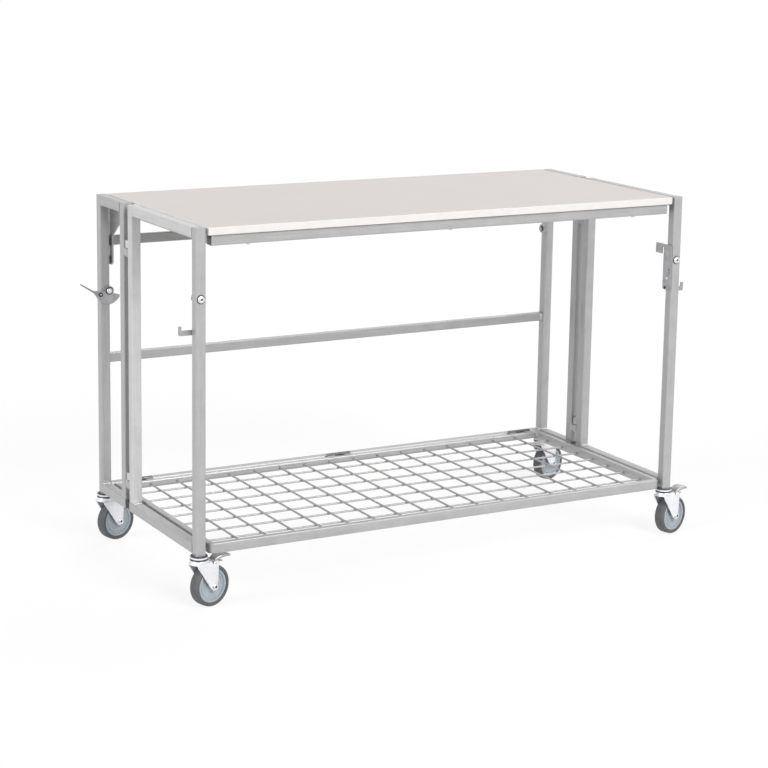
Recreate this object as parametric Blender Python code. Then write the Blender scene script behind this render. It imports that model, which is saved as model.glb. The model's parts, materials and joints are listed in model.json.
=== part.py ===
"""Folding work table on casters: a laminate top and a wire shelf that fold on a steel tube frame.

Metres, +Z up. X runs along the table and -Y is its front. The origin is on the floor, under the
middle of the whole table's box. Each moving body has an empty on its joint's axis.
"""

from math import acos, asin, atan2, ceil, cos, degrees, hypot, pi, radians, sin

import bmesh
import bpy
from mathutils import Vector

# Overall sizes
FRAME_LENGTH = 1.350
FRAME_DEPTH = 0.610
TABLE_HEIGHT = 0.895

# Square steel tube and the gaps between pieces
TUBE = 0.025
TUBE_WALL = 0.0015
TUBE_CORNER = 0.003
POST_CAP = 0.002
JOIN_GAP = 0.0003
PIN_GAP = 0.0004
WELD_SINK = 0.0007

# Heights of the frame's rails
POST_FOOT = 0.126
BOTTOM_RAIL_LIFT = 0.004
MID_RAIL_HEIGHT = 0.479
UPPER_RAIL_DROP = 0.117
FLAT_RAIL_DEPTH = 0.012

# Fixed wings of the rear frame, and the hinges of the end frames
WING_DEPTH = 0.153
HINGE_GAP = 0.026
HINGE_HEIGHT = 0.040
UPPER_HINGE_DROP = 0.108
LOWER_HINGE_RISE = 0.051
KNUCKLE_RADIUS = 0.012
KNUCKLE_WEB = 0.016
KNUCKLE_SPLIT = 0.002
HINGE_PIN_RADIUS = 0.005

# Tabletop
BOARD_THICKNESS = 0.018
BOARD_END_GAP = 0.006
EDGE_BAND = 0.002
EDGE_CHAMFER = 0.0012
BOARD_CORNER = 0.004
SUBFRAME_RECESS = 0.008
SUBFRAME_END_INSET = 0.011
BRACKET_THICKNESS = 0.004
BRACKET_POST_GAP = 0.004
BRACKET_LENGTH = 0.095
BRACKET_LEG = 0.020
BRACKET_FLARE = 0.063
BRACKET_BOSS_RADIUS = 0.012
TABLETOP_PIVOT_DROP = 0.165
PIVOT_RADIUS = 0.004
PIVOT_COLLAR_RADIUS = 0.008
PIVOT_HEAD_RADIUS = 0.0075
PIVOT_HEAD_LENGTH = 0.005

# Wire shelf
SHELF_SIDE_GAP = 0.009
SHELF_REAR_GAP = 0.007
SHELF_TUBE_WIDTH = 0.015
SHELF_BEND_RADIUS = 0.030
WIRE_RADIUS = 0.0026
WIRE_PITCH = 0.0735
WIRE_WELD = 0.0006
WIRE_DROP = 0.010
SHELF_HINGE_LENGTH = 0.070
SHELF_HINGE_INSET = 0.100
SHELF_KNUCKLE_RADIUS = 0.004
SHELF_KNUCKLE_SHARE = 0.40
SHELF_KNUCKLE_SPLIT = 0.0006
SHELF_PIN_RADIUS = 0.002
SHELF_LEAF_DEPTH = 0.012
SHELF_LEAF_THICKNESS = 0.002

# Swinging hooks on the front posts, and the catch on the right one
HOOK_DROP = 0.1625
HOOK_THICKNESS = 0.004
HOOK_BOSS_RADIUS = 0.0124
HOOK_LEG_WIDTH = 0.016
HOOK_LENGTH = 0.086
HOOK_REACH = 0.044
HOOK_ARM_HEIGHT = 0.012
HOOK_TIP_WIDTH = 0.007
HOOK_TIP_RISE = 0.010
HOOK_CORNER = 0.004
HOOK_BOLT_RADIUS = 0.004
HOOK_HEAD_RADIUS = 0.009
HOOK_HEAD_LENGTH = 0.005
CATCH_THICKNESS = 0.0027
CATCH_POST_GAP = 0.0008
CATCH_OVERHANG = 0.009
CATCH_RISE = 0.038
CATCH_FALL = 0.079
CATCH_NOTCH = 0.007
CATCH_TAB_DEPTH = 0.026
CATCH_TAB_HEIGHT = 0.026
CATCH_NECK = 0.009
CATCH_CORNER = 0.006
CATCH_STUD_DROP = 0.030
CATCH_STUD_RADIUS = 0.003
CATCH_HEAD_RADIUS = 0.006
CATCH_HEAD_LENGTH = 0.0012

# Rocker latch on the rear left post
ROCKER_DROP = 0.241
ROCKER_OFFSET = 0.0085
ROCKER_THICKNESS = 0.005
ROCKER_BOSS_RADIUS = 0.0125
ROCKER_MIDDLE = -0.006
ROCKER_HALF_LENGTH = 0.034
ROCKER_BELLY = 0.0348
ROCKER_CURVE = 0.024
ROCKER_BACK = 0.0028
ROCKER_SLOPE = 0.0065
ROCKER_END_HEIGHT = 0.006
ROCKER_HANDLE_REACH = 0.0755
ROCKER_HANDLE_RISE = 0.019
ROCKER_HANDLE_HEIGHT = 0.0035
ROCKER_STUD_RADIUS = 0.004
ROCKER_HEAD_RADIUS = 0.0085
ROCKER_HEAD_LENGTH = 0.006

# Swivel casters
CASTER_TURN = radians(16)
WHEEL_RADIUS = 0.050
TYRE_WIDTH = 0.028
TYRE_DEPTH = 0.009
TYRE_SHOULDER = 0.005
HUB_RIM = 0.006
HUB_RIM_INSET = 0.0015
HUB_WEB_HALF = 0.006
HUB_BOSS_RADIUS = 0.012
AXLE_RADIUS = 0.004
AXLE_HEAD_RADIUS = 0.0065
AXLE_HEAD_LENGTH = 0.003
CASTER_TRAIL = 0.032
FORK_INSIDE = 0.035
FORK_SHEET = 0.003
FORK_TOP_DROP = 0.014
FORK_BRIDGE = 0.003
FORK_BRIDGE_DROP = 0.0006
FORK_HEEL = 0.030
FORK_HEEL_HEIGHT = 0.009
FORK_TOE = 0.014
FORK_EYE_RADIUS = 0.010
RACE_RADIUS = 0.021
STEM_FLANGE_RADIUS = 0.019
STEM_FLANGE = 0.005
STEM_PLUG = 0.030
KINGPIN_RADIUS = 0.006
KINGPIN_HEAD_RADIUS = 0.009
KINGPIN_HEAD = 0.003
PEDAL_PIN_RADIUS = 0.0025
PEDAL_EYE_RADIUS = 0.0042
PEDAL_WIDTH = 0.029
PEDAL_SHEET = 0.0025
PEDAL_PIN_FORWARD = 0.004
PEDAL_PIN_DROP = 0.0062
PEDAL_NECK_RUN = 0.008
PEDAL_NECK_RISE = 0.0080
PEDAL_BLADE_RUN = 0.028
PEDAL_BLADE_RISE = 0.0150
PEDAL_TOE_RUN = 0.052
PEDAL_TOE_RISE = 0.0125
PEDAL_LIP_RUN = 0.055
PEDAL_LIP_RISE = 0.0060

# Facets of round shapes
CORNER_STEPS = 2
PIN_STEPS = 12
SHELF_PIN_STEPS = 8
WIRE_STEPS = 6
WHEEL_STEPS = 20
RACE_STEPS = 12
ARC_STEP_DEGREES = 30
SHOULDER_STEP_DEGREES = 45

# Places worked out from the sizes above
HALF_LENGTH = FRAME_LENGTH / 2
HALF_DEPTH = FRAME_DEPTH / 2
POST_X = HALF_LENGTH - TUBE / 2
POST_INNER_X = HALF_LENGTH - TUBE
POST_Y = HALF_DEPTH - TUBE / 2
POST_FACE_Y = HALF_DEPTH - TUBE
BOTTOM_RAIL_BASE = POST_FOOT + BOTTOM_RAIL_LIFT
BOTTOM_RAIL_TOP = BOTTOM_RAIL_BASE + TUBE
HINGE_POST_Y = HALF_DEPTH - WING_DEPTH - TUBE / 2
HINGE_ARM = TUBE / 2 + HINGE_GAP / 2
HINGE_AXIS_Y = HINGE_POST_Y - HINGE_ARM
END_POST_Y = HINGE_AXIS_Y - HINGE_ARM
UPRIGHT_BASE = BOTTOM_RAIL_TOP + JOIN_GAP
HINGE_HEIGHTS = (TABLE_HEIGHT - UPPER_HINGE_DROP, BOTTOM_RAIL_TOP + LOWER_HINGE_RISE)
BOARD_BASE = TABLE_HEIGHT - BOARD_THICKNESS
BOARD_HALF = POST_INNER_X - BOARD_END_GAP
SUBFRAME_TOP = BOARD_BASE - JOIN_GAP
BRACKET_OUTER_X = POST_INNER_X - BRACKET_POST_GAP
BRACKET_INNER_X = BRACKET_OUTER_X - BRACKET_THICKNESS
TABLETOP_PIVOT_Z = TABLE_HEIGHT - TABLETOP_PIVOT_DROP
SHELF_HALF = POST_INNER_X - SHELF_SIDE_GAP
SHELF_REAR_Y = POST_FACE_Y - SHELF_REAR_GAP
SHELF_HINGE_SPREAD = HALF_LENGTH - SHELF_HINGE_INSET
SHELF_AXIS_Y = POST_FACE_Y - SHELF_REAR_GAP / 2
SHELF_AXIS_Z = BOTTOM_RAIL_TOP + SHELF_LEAF_THICKNESS / 2 + SHELF_KNUCKLE_RADIUS / 2
HOOK_Z = TABLE_HEIGHT - HOOK_DROP
HOOK_Y = -POST_FACE_Y + JOIN_GAP
CATCH_Z = HOOK_Z - CATCH_STUD_DROP
CATCH_OUTER_X = POST_INNER_X - CATCH_POST_GAP
CATCH_INNER_X = CATCH_OUTER_X - CATCH_THICKNESS
ROCKER_X = -POST_X + ROCKER_OFFSET
ROCKER_Z = TABLE_HEIGHT - ROCKER_DROP
ROCKER_Y = POST_FACE_Y - JOIN_GAP
FORK_TOP = POST_FOOT - FORK_TOP_DROP
FORK_BRIDGE_TOP = FORK_TOP - FORK_BRIDGE_DROP
STEM_BASE = POST_FOOT - JOIN_GAP - STEM_FLANGE
FORK_OUTSIDE = FORK_INSIDE + 2 * FORK_SHEET
PEDAL_PIN_X = CASTER_TRAIL + PEDAL_PIN_FORWARD
PEDAL_PIN_Z = FORK_TOP - PEDAL_PIN_DROP

SIDES = {"left": -1, "right": 1}


def finish(name, colour, roughness, metallic):
    """A plain surface finish."""
    material = bpy.data.materials.new(name)
    material.use_nodes = True
    shader = material.node_tree.nodes["Principled BSDF"]
    shader.inputs["Base Color"].default_value = (*colour, 1.0)
    shader.inputs["Roughness"].default_value = roughness
    shader.inputs["Metallic"].default_value = metallic
    return material


def place(axis, a, b, along):
    """The point whose section coordinates are a and b, at a distance along the axis."""
    return {"X": (along, a, b), "Y": (a, along, b), "Z": (a, b, along)}[axis]


def skin(loops, ring=False):
    """A closed mesh over successive loops of points, either capped or closed into a ring."""
    mesh_builder = bmesh.new()
    rows = [[mesh_builder.verts.new(point) for point in loop] for loop in loops]
    pairs = list(zip(rows, rows[1:]))
    if ring:
        pairs.append((rows[-1], rows[0]))
    else:
        mesh_builder.faces.new(rows[0])
        mesh_builder.faces.new(rows[-1])
    for first, second in pairs:
        for i in range(len(first)):
            j = (i + 1) % len(first)
            mesh_builder.faces.new((first[i], first[j], second[j], second[i]))
    bmesh.ops.recalc_face_normals(mesh_builder, faces=mesh_builder.faces)
    mesh = bpy.data.meshes.new("piece")
    mesh_builder.to_mesh(mesh)
    mesh_builder.free()
    return mesh


def arc(centre, radius, start, end, step=ARC_STEP_DEGREES):
    """Points along an arc, with its angles in degrees, both ends included."""
    steps = max(1, ceil(abs(end - start) / step))
    angles = [radians(start + (end - start) * i / steps) for i in range(steps + 1)]
    return [(centre[0] + radius * cos(a), centre[1] + radius * sin(a)) for a in angles]


def circle(radius, steps):
    return [(radius * cos(2 * pi * i / steps), radius * sin(2 * pi * i / steps)) for i in range(steps)]


def rectangle(width, height, radius):
    """A rectangle round the middle, with round corners."""
    outline = []
    for quarter, (x_sign, y_sign) in enumerate(((1, 1), (-1, 1), (-1, -1), (1, -1))):
        centre_x = x_sign * (width / 2 - radius)
        centre_y = y_sign * (height / 2 - radius)
        for i in range(CORNER_STEPS + 1):
            angle = (quarter + i / CORNER_STEPS) * pi / 2
            outline.append((centre_x + radius * cos(angle), centre_y + radius * sin(angle)))
    return outline


def loop_at(axis, outline, along):
    return [place(axis, a, b, along) for a, b in outline]


def prism(axis, outline, low, high):
    return skin([loop_at(axis, outline, low), loop_at(axis, outline, high)])


def box(axis, a_range, b_range, low, high):
    (a0, a1), (b0, b1) = a_range, b_range
    return prism(axis, [(a0, b0), (a1, b0), (a1, b1), (a0, b1)], low, high)


def turned(axis, profile, steps, ring=False):
    """A turned piece: profile lists each radius and its place along the axis."""
    return skin([loop_at(axis, circle(radius, steps), along) for radius, along in profile], ring)


def moved(mesh, offset):
    """The same mesh, shifted inside its own frame."""
    for vertex in mesh.vertices:
        vertex.co += Vector(offset)
    return mesh


def tube(axis, length, width=TUBE, depth=TUBE):
    """An open rectangular tube, centred, with width and depth along the section's two axes."""
    outside = rectangle(width, depth, TUBE_CORNER)
    inner_corner = max(TUBE_CORNER - TUBE_WALL, TUBE_WALL / 2)
    inside = rectangle(width - 2 * TUBE_WALL, depth - 2 * TUBE_WALL, inner_corner)
    ends = (-length / 2, length / 2)
    loops = [loop_at(axis, outside, end) for end in ends]
    loops += [loop_at(axis, inside, end) for end in reversed(ends)]
    return skin(loops, ring=True)


def post(height):
    """An upright tube standing on its own origin, with a closed top."""
    outside = rectangle(TUBE, TUBE, TUBE_CORNER)
    clear = TUBE - 2 * TUBE_WALL
    inside = rectangle(clear, clear, max(TUBE_CORNER - TUBE_WALL, TUBE_WALL / 2))
    return skin([
        loop_at("Z", inside, height - POST_CAP),
        loop_at("Z", inside, 0.0),
        loop_at("Z", outside, 0.0),
        loop_at("Z", outside, height),
    ])


def bent_tube(path, width, height):
    """An open rectangular tube along a level path, with its width across the path."""
    outside = rectangle(width, height, TUBE_CORNER)
    inner_corner = max(TUBE_CORNER - TUBE_WALL, TUBE_WALL / 2)
    inside = rectangle(width - 2 * TUBE_WALL, height - 2 * TUBE_WALL, inner_corner)
    points = [Vector(point) for point in path]
    headings = [(after - before).normalized() for before, after in zip(points, points[1:])]
    frames = []
    for i, point in enumerate(points):
        before = headings[max(i - 1, 0)]
        after = headings[min(i, len(headings) - 1)]
        across = Vector((before.y + after.y, -before.x - after.x)).normalized()
        stretch = 1.0 / across.dot(Vector((before.y, -before.x)))
        frames.append((point, across * stretch))

    def section(outline, point, across):
        return [(point.x + across.x * a, point.y + across.y * a, b) for a, b in outline]

    loops = [section(outside, *frame) for frame in frames]
    loops += [section(inside, *frame) for frame in reversed(frames)]
    return skin(loops, ring=True)


def carve(base, joined=(), cut=()):
    """One mesh made of base and what is joined to it, less what is cut from it."""
    holder = bpy.data.objects.new("holder", base)
    helpers = [holder]
    bpy.context.collection.objects.link(holder)
    for operation, meshes in (("UNION", joined), ("DIFFERENCE", cut)):
        for mesh in meshes:
            helper = bpy.data.objects.new("helper", mesh)
            bpy.context.collection.objects.link(helper)
            helpers.append(helper)
            modifier = holder.modifiers.new("carve", "BOOLEAN")
            modifier.operation = operation
            modifier.solver = "EXACT"
            modifier.object = helper
    bpy.context.view_layer.update()
    result = bpy.data.meshes.new_from_object(holder.evaluated_get(bpy.context.evaluated_depsgraph_get()))
    for helper in helpers:
        bpy.data.objects.remove(helper)
    return result


def origin_of(body):
    """A body's joint origin, in the frame of the table's middle."""
    position = Vector((0.0, 0.0, 0.0))
    while body.parent:
        position += body.location
        body = body.parent
    return position


def body_at(name, parent, at):
    """An empty on a joint's axis, which carries the pieces that move together."""
    body = bpy.data.objects.new(name, None)
    bpy.context.collection.objects.link(body)
    body.parent = parent
    body.location = Vector(at) - origin_of(parent)
    return body


def add(name, mesh, material, body, at=(0.0, 0.0, 0.0)):
    """One piece of the table, placed in the frame of the table's middle."""
    piece = bpy.data.objects.new(name, mesh)
    bpy.context.collection.objects.link(piece)
    piece.parent = body
    piece.location = Vector(at) - origin_of(body)
    if not mesh.materials:
        mesh.materials.append(material)
    mesh.shade_smooth()
    mesh.set_sharp_from_angle(angle=radians(40))
    return piece


def knuckle_outline(side):
    """A weld-on hinge half: a round barrel with a web towards its post on the given Y side."""
    half_web = KNUCKLE_WEB / 2
    spread = degrees(asin(half_web / KNUCKLE_RADIUS))
    reach = HINGE_GAP / 2 + WELD_SINK
    outline = arc((0.0, 0.0), KNUCKLE_RADIUS, 90 + spread, 450 - spread)
    outline += [(half_web, reach), (-half_web, reach)]
    return [(x, side * y) for x, y in outline]


def hinge_post():
    """The wing's upright, with the lower halves and the pins of both hinges welded on."""
    joined = []
    for height in HINGE_HEIGHTS:
        middle = height - UPRIGHT_BASE
        low = middle - HINGE_HEIGHT / 2
        top = middle - KNUCKLE_SPLIT / 2
        pin_top = middle + HINGE_HEIGHT / 2 - HINGE_PIN_RADIUS
        barrel = prism("Z", knuckle_outline(1), low, top)
        pin = turned("Z", [(HINGE_PIN_RADIUS, (low + top) / 2), (HINGE_PIN_RADIUS, pin_top)], PIN_STEPS)
        joined += [moved(part, (0.0, -HINGE_ARM, 0.0)) for part in (barrel, pin)]
    return carve(post(TABLE_HEIGHT - UPRIGHT_BASE), joined)


def end_rear_post():
    """The end frame's hinged upright, with the bored upper halves of both hinges welded on."""
    joined = []
    for height in HINGE_HEIGHTS:
        middle = height - UPRIGHT_BASE
        low = middle + KNUCKLE_SPLIT / 2
        top = middle + HINGE_HEIGHT / 2
        bore_radius = HINGE_PIN_RADIUS + PIN_GAP
        bore = turned("Z", [(bore_radius, low - HINGE_GAP), (bore_radius, top + HINGE_GAP)], PIN_STEPS)
        barrel = carve(prism("Z", knuckle_outline(-1), low, top), cut=[bore])
        joined.append(moved(barrel, (0.0, HINGE_ARM, 0.0)))
    return carve(post(TABLE_HEIGHT - UPRIGHT_BASE), joined)


def front_post():
    """The end frame's front upright, drilled from front to back for the hook's bolt."""
    radius = HOOK_BOLT_RADIUS + PIN_GAP
    hole = turned("Y", [(radius, -TUBE), (radius, TUBE)], PIN_STEPS)
    drilled = moved(hole, (0.0, 0.0, HOOK_Z - POST_FOOT))
    return carve(post(TABLE_HEIGHT - POST_FOOT), cut=[drilled])


def shelf_knuckle(middle, length):
    """One knuckle of a shelf hinge, on the hinge's own axis."""
    ends = (middle - length / 2, middle + length / 2)
    return turned("X", [(SHELF_KNUCKLE_RADIUS, end) for end in ends], SHELF_PIN_STEPS)


def shelf_leaf(middle, length, y_side):
    """A hinge leaf lying on a rail's top, from the hinge axis outwards on one Y side."""
    near = y_side * (SHELF_KNUCKLE_RADIUS - SHELF_LEAF_THICKNESS / 2)
    far = y_side * (SHELF_REAR_GAP / 2 + SHELF_LEAF_DEPTH)
    rail_top = BOTTOM_RAIL_TOP - SHELF_AXIS_Z
    heights = (rail_top - WELD_SINK, rail_top + SHELF_LEAF_THICKNESS)
    return box("X", sorted((near, far)), heights, middle - length / 2, middle + length / 2)


def rear_bottom_rail():
    """The rear frame's lowest rail, with the middle knuckles of the three shelf hinges."""
    rail = tube("X", 2 * (POST_INNER_X - JOIN_GAP))
    middle_length = SHELF_KNUCKLE_SHARE * SHELF_HINGE_LENGTH
    offset = (0.0, SHELF_AXIS_Y - POST_Y, SHELF_AXIS_Z - BOTTOM_RAIL_BASE - TUBE / 2)
    joined = []
    holes = []
    bore_radius = SHELF_PIN_RADIUS + PIN_GAP
    for x in (-SHELF_HINGE_SPREAD, 0.0, SHELF_HINGE_SPREAD):
        joined.append(moved(shelf_leaf(x, middle_length, 1), offset))
        joined.append(moved(shelf_knuckle(x, middle_length), offset))
        ends = (x - middle_length, x + middle_length)
        bore = turned("X", [(bore_radius, end) for end in ends], SHELF_PIN_STEPS)
        holes.append(moved(bore, offset))
    return carve(rail, joined, holes)


def shelf_rear_rail():
    """The shelf's rear rail, with the outer knuckles and the pins of its three hinges."""
    width = 2 * (SHELF_HALF - SHELF_TUBE_WIDTH - JOIN_GAP)
    rail = tube("X", width, SHELF_TUBE_WIDTH, SHELF_TUBE_WIDTH)
    centre_y = SHELF_REAR_Y - SHELF_TUBE_WIDTH / 2
    centre_z = BOTTOM_RAIL_TOP - SHELF_TUBE_WIDTH / 2
    offset = (0.0, SHELF_AXIS_Y - centre_y, SHELF_AXIS_Z - centre_z)
    outer_length = (1.0 - SHELF_KNUCKLE_SHARE) / 2 * SHELF_HINGE_LENGTH - SHELF_KNUCKLE_SPLIT
    outer_mid = (SHELF_HINGE_LENGTH - outer_length) / 2
    joined = []
    for x in (-SHELF_HINGE_SPREAD, 0.0, SHELF_HINGE_SPREAD):
        for middle in (x - outer_mid, x + outer_mid):
            joined.append(moved(shelf_leaf(middle, outer_length, -1), offset))
            joined.append(moved(shelf_knuckle(middle, outer_length), offset))
        ends = (x - outer_mid, x + outer_mid)
        pin = turned("X", [(SHELF_PIN_RADIUS, end) for end in ends], SHELF_PIN_STEPS)
        joined.append(moved(pin, offset))
    return carve(rail, joined), (0.0, centre_y, centre_z)


def shelf_hoop():
    """Front and side rails of the shelf, bent from one tube that is open at its rear ends."""
    side_x = SHELF_HALF - SHELF_TUBE_WIDTH / 2
    front_y = -HALF_DEPTH + SHELF_TUBE_WIDTH / 2
    bend = (side_x - SHELF_BEND_RADIUS, front_y + SHELF_BEND_RADIUS)
    path = [(-side_x, SHELF_REAR_Y)]
    path += arc((-bend[0], bend[1]), SHELF_BEND_RADIUS, 180, 270)
    path += arc(bend, SHELF_BEND_RADIUS, 270, 360)
    path.append((side_x, SHELF_REAR_Y))
    return bent_tube(path, SHELF_TUBE_WIDTH, TUBE)


def wire_grid():
    """Welded wire mesh that fills the shelf's frame, with the cross wires on top."""
    half_x = SHELF_HALF - SHELF_TUBE_WIDTH - JOIN_GAP
    front_y = -HALF_DEPTH + SHELF_TUBE_WIDTH + JOIN_GAP
    rear_y = SHELF_REAR_Y - SHELF_TUBE_WIDTH - JOIN_GAP
    layer = 2 * WIRE_RADIUS - WIRE_WELD
    section = [(-b, a) for a, b in circle(WIRE_RADIUS, WIRE_STEPS)]

    def spread(low, high):
        count = max(2, int((high - low) / WIRE_PITCH))
        first = (low + high - (count - 1) * WIRE_PITCH) / 2
        return [first + i * WIRE_PITCH for i in range(count)]

    long_wires = [
        prism("X", [(y + a, b - layer) for a, b in section], -half_x, half_x)
        for y in spread(front_y, rear_y)
    ]
    cross_wires = [
        prism("Y", [(x + a, b) for a, b in section], front_y, rear_y)
        for x in spread(-half_x, half_x)
    ]
    return carve(gathered(long_wires), [gathered(cross_wires)])


def gathered(meshes):
    """Several meshes that stay apart, as one mesh."""
    mesh_builder = bmesh.new()
    for mesh in meshes:
        mesh_builder.from_mesh(mesh)
    result = bpy.data.meshes.new("piece")
    mesh_builder.to_mesh(result)
    mesh_builder.free()
    return result


def edge_band(width, depth):
    """The white edging round the board, with eased edges."""
    def outline(inset):
        return rectangle(width - 2 * inset, depth - 2 * inset, BOARD_CORNER - inset)

    return skin([
        loop_at("Z", outline(EDGE_CHAMFER), 0.0),
        loop_at("Z", outline(0.0), EDGE_CHAMFER),
        loop_at("Z", outline(0.0), BOARD_THICKNESS - EDGE_CHAMFER),
        loop_at("Z", outline(EDGE_CHAMFER), BOARD_THICKNESS),
        loop_at("Z", outline(EDGE_BAND), BOARD_THICKNESS),
        loop_at("Z", outline(EDGE_BAND), 0.0),
    ], ring=True)


def bracket_outline():
    """The tabletop's pivot gusset, in Y and Z from its pivot: a straight leg that widens to the subframe."""
    top = SUBFRAME_TOP - TABLETOP_PIVOT_Z
    heel = BRACKET_LEG - BRACKET_BOSS_RADIUS
    outline = arc((-heel, 0.0), BRACKET_BOSS_RADIUS, 180, 270)
    outline += arc((0.0, 0.0), BRACKET_BOSS_RADIUS, 270, 450)
    outline += [(0.0, top), (-BRACKET_LENGTH, top), (-BRACKET_LENGTH, top - TUBE)]
    outline += [(-BRACKET_LEG, BRACKET_FLARE)]
    return outline


def pivot_bracket(low, high):
    radius = PIVOT_RADIUS + PIN_GAP
    hole = turned("X", [(radius, low - TUBE), (radius, high + TUBE)], PIN_STEPS)
    return carve(prism("X", bracket_outline(), low, high), cut=[hole])


def tabletop_pivot(side):
    """A stud on the rear post's inner face, with a collar, a bearing and a head inside the bracket."""
    collar_end = BRACKET_OUTER_X + JOIN_GAP
    head_start = BRACKET_INNER_X - JOIN_GAP
    profile = [
        (PIVOT_COLLAR_RADIUS, POST_INNER_X - JOIN_GAP),
        (PIVOT_COLLAR_RADIUS, collar_end),
        (PIVOT_RADIUS, collar_end),
        (PIVOT_RADIUS, head_start),
        (PIVOT_HEAD_RADIUS, head_start),
        (PIVOT_HEAD_RADIUS, head_start - PIVOT_HEAD_LENGTH / 2),
        (PIVOT_RADIUS, head_start - PIVOT_HEAD_LENGTH),
    ]
    return turned("X", [(radius, side * along) for radius, along in profile], PIN_STEPS)


def hook_outline(side):
    """A hanging J hook, in X and Z from its bolt, with its arm on the given side."""
    half_leg = HOOK_LEG_WIDTH / 2
    join = degrees(acos(half_leg / HOOK_BOSS_RADIUS))
    arm_top = -HOOK_LENGTH + HOOK_ARM_HEIGHT
    tip_top = arm_top + HOOK_TIP_RISE
    outline = arc((0.0, 0.0), HOOK_BOSS_RADIUS, -join, 180 + join)
    outline += [(-half_leg, arm_top), (-HOOK_REACH + HOOK_TIP_WIDTH, arm_top)]
    outline += [(-HOOK_REACH + HOOK_TIP_WIDTH, tip_top), (-HOOK_REACH, tip_top)]
    outline += arc((-HOOK_REACH + HOOK_CORNER, -HOOK_LENGTH + HOOK_CORNER), HOOK_CORNER, 180, 270)
    outline += arc((half_leg - HOOK_CORNER, -HOOK_LENGTH + HOOK_CORNER), HOOK_CORNER, 270, 360)
    return [(-side * x, z) for x, z in outline]


def hook(side):
    radius = HOOK_BOLT_RADIUS + PIN_GAP
    hole = turned("Y", [(radius, -HOOK_THICKNESS), (radius, 2 * HOOK_THICKNESS)], PIN_STEPS)
    return carve(prism("Y", hook_outline(side), 0.0, HOOK_THICKNESS), cut=[hole])


def catch_outline():
    """The catch lever, in Y and Z from its stud: an upright bar whose top turns back and down."""
    base = -CATCH_FALL + CATCH_STUD_DROP
    top = CATCH_RISE + CATCH_STUD_DROP
    front = -TUBE / 2
    back = TUBE / 2 + CATCH_OVERHANG
    tab_front = back + CATCH_NOTCH
    tab_back = tab_front + CATCH_TAB_DEPTH
    outline = arc((front + CATCH_CORNER, base + CATCH_CORNER), CATCH_CORNER, 180, 270)
    outline += arc((back - CATCH_CORNER, base + CATCH_CORNER), CATCH_CORNER, 270, 360)
    outline += [(back, top - CATCH_NECK), (tab_front, top - CATCH_NECK)]
    outline += [(tab_front, top - CATCH_TAB_HEIGHT), (tab_back, top - CATCH_TAB_HEIGHT)]
    outline += [(tab_back, top), (front, top)]
    return outline


def catch_lever():
    radius = CATCH_STUD_RADIUS + PIN_GAP
    hole = turned("X", [(radius, CATCH_INNER_X - TUBE), (radius, CATCH_OUTER_X + TUBE)], PIN_STEPS)
    return carve(prism("X", catch_outline(), CATCH_INNER_X, CATCH_OUTER_X), cut=[hole])


def catch_stud():
    """The flat-headed stud on the right front post's inner face that carries the catch lever."""
    head_start = CATCH_INNER_X - JOIN_GAP
    profile = [
        (CATCH_STUD_RADIUS, POST_INNER_X - JOIN_GAP),
        (CATCH_STUD_RADIUS, head_start),
        (CATCH_HEAD_RADIUS, head_start),
        (CATCH_HEAD_RADIUS, head_start - CATCH_HEAD_LENGTH),
    ]
    return turned("X", profile, PIN_STEPS)


def hook_bolt():
    """A domed bolt through the front post and the hook behind it, with a domed nut."""
    front = -HALF_DEPTH - JOIN_GAP
    back = HOOK_Y + HOOK_THICKNESS + JOIN_GAP
    profile = [
        (HOOK_BOLT_RADIUS, front - HOOK_HEAD_LENGTH),
        (HOOK_HEAD_RADIUS, front - HOOK_HEAD_LENGTH / 2),
        (HOOK_HEAD_RADIUS, front),
        (HOOK_BOLT_RADIUS, front),
        (HOOK_BOLT_RADIUS, back),
        (HOOK_HEAD_RADIUS, back),
        (HOOK_HEAD_RADIUS, back + HOOK_HEAD_LENGTH / 2),
        (HOOK_BOLT_RADIUS, back + HOOK_HEAD_LENGTH),
    ]
    return turned("Y", profile, PIN_STEPS)


def rocker_outline():
    """A tilted crescent, in X and Z from its stud, with a slim handle reaching out to the left."""
    steps = 8
    shares = [2 * i / steps - 1 for i in range(steps + 1)]
    places = [ROCKER_MIDDLE + ROCKER_HALF_LENGTH * share for share in shares]
    sag = ROCKER_CURVE - ROCKER_BELLY + ROCKER_END_HEIGHT + ROCKER_BACK
    belly = [(x, ROCKER_CURVE * t * t - ROCKER_SLOPE * t - ROCKER_BELLY) for x, t in zip(places, shares)]
    back = [(x, sag * t * t - ROCKER_SLOPE * t - ROCKER_BACK) for x, t in zip(places, shares)]
    handle_low = (-ROCKER_HANDLE_REACH, ROCKER_HANDLE_RISE)
    handle_top = (-ROCKER_HANDLE_REACH, ROCKER_HANDLE_RISE + ROCKER_HANDLE_HEIGHT)
    return [handle_low, *belly, *reversed(back), handle_top]


def rocker_latch():
    """The rocker's plate, with a round boss above the crescent for its stud."""
    radius = ROCKER_STUD_RADIUS + PIN_GAP
    hole = turned("Y", [(radius, -2 * ROCKER_THICKNESS), (radius, ROCKER_THICKNESS)], PIN_STEPS)
    boss_profile = [(ROCKER_BOSS_RADIUS, -ROCKER_THICKNESS), (ROCKER_BOSS_RADIUS, 0.0)]
    boss = turned("Y", boss_profile, PIN_STEPS)
    return carve(prism("Y", rocker_outline(), -ROCKER_THICKNESS, 0.0), [boss], [hole])


def rocker_stud():
    front = -ROCKER_THICKNESS - JOIN_GAP
    profile = [
        (ROCKER_STUD_RADIUS, 0.0),
        (ROCKER_STUD_RADIUS, front),
        (ROCKER_HEAD_RADIUS, front),
        (ROCKER_HEAD_RADIUS, front - ROCKER_HEAD_LENGTH / 2),
        (ROCKER_STUD_RADIUS, front - ROCKER_HEAD_LENGTH),
    ]
    return turned("Y", profile, PIN_STEPS)


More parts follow.
